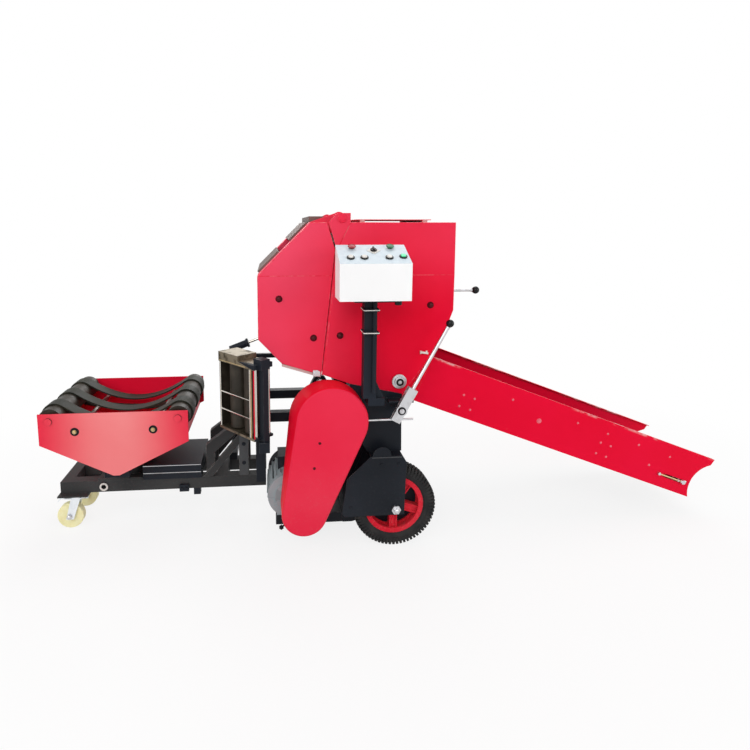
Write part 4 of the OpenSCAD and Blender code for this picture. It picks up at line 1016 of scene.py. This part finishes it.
# Rings and spokes of the motor's fan cowl
COWL_X, COWL_Z = -325, 265
cowl = Form(DARK_GREY)
for inner in (26, 42, 58, 74, 90):
    washer(cowl, spot(COWL_X, -54, COWL_Z), FACES[1], inner, inner + 7, 3)
for i in range(6):
    turn = math.radians(60 * i)
    start, end = (spot(COWL_X + r * math.cos(turn), -52.5, COWL_Z + r * math.sin(turn))
                  for r in (12, 104))
    cowl.rod(start, end, 2.5)
cowl.done("cowl_grille", "baler", "grey_paint", (), 0)

# Film stretcher: end panel, guide strips and a strip along its housing
BOX_FACES = ((3, 2, 1, 0), (4, 5, 6, 7), (0, 1, 5, 4), (1, 2, 6, 5), (2, 3, 7, 6), (3, 0, 4, 7))
film_trim = Form(FILM_RUBBER, BRASS, RIM_RED)


def film_block(low, high, finish=None):
    (x0, y0, z0), (x1, y1, z1) = low, high
    verts = [film_trim.mesh.verts.new(film_spot(x, y, z)) for z in (z0, z1)
             for x, y in ((x0, y0), (x1, y0), (x1, y1), (x0, y1))]
    for face in BOX_FACES:
        film_trim.mesh.faces.new([verts[i] for i in face])
    film_trim.add(verts, finish)


FILM_LOW, FILM_HIGH = 615, 946
film_block((270, -71, FILM_LOW), (274, 6, FILM_HIGH))
film_block((22, 4, FILM_LOW), (26, 9, FILM_HIGH), BRASS)
film_block((0, 4, FILM_LOW), (4, 9, FILM_HIGH), RIM_RED)
film_block((60, 10, 950), (272, 11.5, 954), BRASS)
film_trim.done("film_trim", "baler", "black_paint", (), RING_EDGE)

# Straps that hold the cable on the post
straps = Form(PALE_NYLON)
for z in (1224, 1119):
    straps.block((5, -552.5, z), (79, -551, z + 4)).block((5.5, -552, z), (7, -470, z + 4))
    straps.block((77, -552, z), (78.5, -470, z + 4))
straps.done("cable_straps", "baler", "steel", (), 0)

# Scene

scene = bpy.context.scene
scene.view_settings.view_transform = "Standard"


def lamp(name, place, target, energy, size):
    light = bpy.data.lights.new(name, "AREA")
    light.energy = energy
    light.shape, light.size, light.size_y = "RECTANGLE", size[0], size[1]
    obj = bpy.data.objects.new(name, light)
    scene.collection.objects.link(obj)
    obj.location = place
    obj.rotation_euler = (Vector(target) - Vector(place)).to_track_quat("-Z", "Y").to_euler()


lamp("key", (-2.0, -5.6, 4.4), (0, 0, 0.8), 130, (4.0, 3.0))
lamp("left", (-4.8, -3.0, 3.0), (-0.8, 0, 0.7), 55, (2.4, 2.4))
lamp("fill", (4.4, -3.8, 2.6), (0, 0, 0.7), 80, (3.0, 2.4))
lamp("top", (0.2, 1.0, 5.0), (0, 0, 0.6), 90, (4.0, 3.0))
lamp("back", (0.6, 5.4, 3.4), (0, 0, 0.8), 115, (4.0, 3.0))

WORLD_LIGHT, BACKGROUND = 0.42, 1.0
world = bpy.data.worlds.new("studio")
scene.world = world
world.use_nodes = True
nodes, links = world.node_tree.nodes, world.node_tree.links
light = nodes["Background"]
light.inputs["Color"].default_value = (1, 1, 1, 1)
light.inputs["Strength"].default_value = WORLD_LIGHT
white = nodes.new("ShaderNodeBackground")
white.inputs["Color"].default_value = (1, 1, 1, 1)
white.inputs["Strength"].default_value = BACKGROUND


def either(tree, first, second):
    made = tree.nodes.new("ShaderNodeMath")
    made.operation = "MAXIMUM"
    tree.links.new(first, made.inputs[0])
    tree.links.new(second, made.inputs[1])
    return made.outputs[0]


def seen(tree):
    ray = tree.nodes.new("ShaderNodeLightPath")
    shiny = either(tree, ray.outputs["Is Glossy Ray"], ray.outputs["Is Transmission Ray"])
    return either(tree, ray.outputs["Is Camera Ray"], shiny)


choice = nodes.new("ShaderNodeMixShader")
links.new(seen(world.node_tree), choice.inputs[0])
links.new(light.outputs[0], choice.inputs[1])
links.new(white.outputs[0], choice.inputs[2])
links.new(choice.outputs[0], nodes["World Output"].inputs["Surface"])

FLOOR_HALF = 40.0
floor_mesh = bpy.data.meshes.new("floor")
corners = [(x * FLOOR_HALF, y * FLOOR_HALF, 0) for x, y in ((-1, -1), (1, -1), (1, 1), (-1, 1))]
floor_mesh.from_pydata(corners, [], [(0, 1, 2, 3)])
floor = bpy.data.objects.new("floor", floor_mesh)
scene.collection.objects.link(floor)
ground = Finish("pale_floor", {"Roughness": 0.9, "Specular IOR Level": 0.1})
mottle = ground.noise(0.6).between(0.3, 0.7)
ground.show(Base_Color=ground.blend(mottle, (0.86, 0.86, 0.86), (0.88, 0.88, 0.88)))
glow = ground.tree.nodes.new("ShaderNodeEmission")
cover = ground.tree.nodes.new("ShaderNodeMixShader")
# Near the machine the floor shows its shadow, and further off it is as white as the background
FLOOR_WHITE = 0.82
WHITE_FROM, WHITE_BY, SHADOW_OVAL = 1.9, 3.6, 1.6
x, y, z = ground.split(ground.place)
reach_out = ground.node("ShaderNodeMath", {"operation": "SQRT"}, {0: x * x + y * y * SHADOW_OVAL})
plain_white = reach_out.between(WHITE_FROM, WHITE_BY) * (1 - FLOOR_WHITE) + FLOOR_WHITE
covered = plain_white * Value(ground, seen(ground.tree))
ground.feed(cover.inputs[0], covered)
ground.tree.links.new(ground.shader.outputs[0], cover.inputs[1])
ground.tree.links.new(glow.outputs[0], cover.inputs[2])
ground.tree.links.new(cover.outputs[0], ground.tree.nodes["Material Output"].inputs["Surface"])
floor_mesh.materials.append(ground.material)

YAW, PITCH = math.radians(5), math.radians(8)
FOCAL_PX, FRAME_PX = 528.0, 750.0
VANISH = (270.0, 227.0)
EYE_PLACE = (-412, -2877, 1600)
eye = bpy.data.cameras.new("camera")
eye.sensor_width = 36.0
eye.lens = FOCAL_PX / FRAME_PX * eye.sensor_width
eye.shift_x = 0.5 - (VANISH[0] + FOCAL_PX * math.tan(YAW) / math.cos(PITCH)) / FRAME_PX
eye.shift_y = (VANISH[1] + FOCAL_PX * math.tan(PITCH)) / FRAME_PX - 0.5
camera = bpy.data.objects.new("camera", eye)
scene.collection.objects.link(camera)
camera.location = spot(*EYE_PLACE)
look = Vector((math.sin(YAW) * math.cos(PITCH), math.cos(YAW) * math.cos(PITCH), -math.sin(PITCH)))
camera.rotation_euler = look.to_track_quat("-Z", "Y").to_euler()
scene.camera = camera
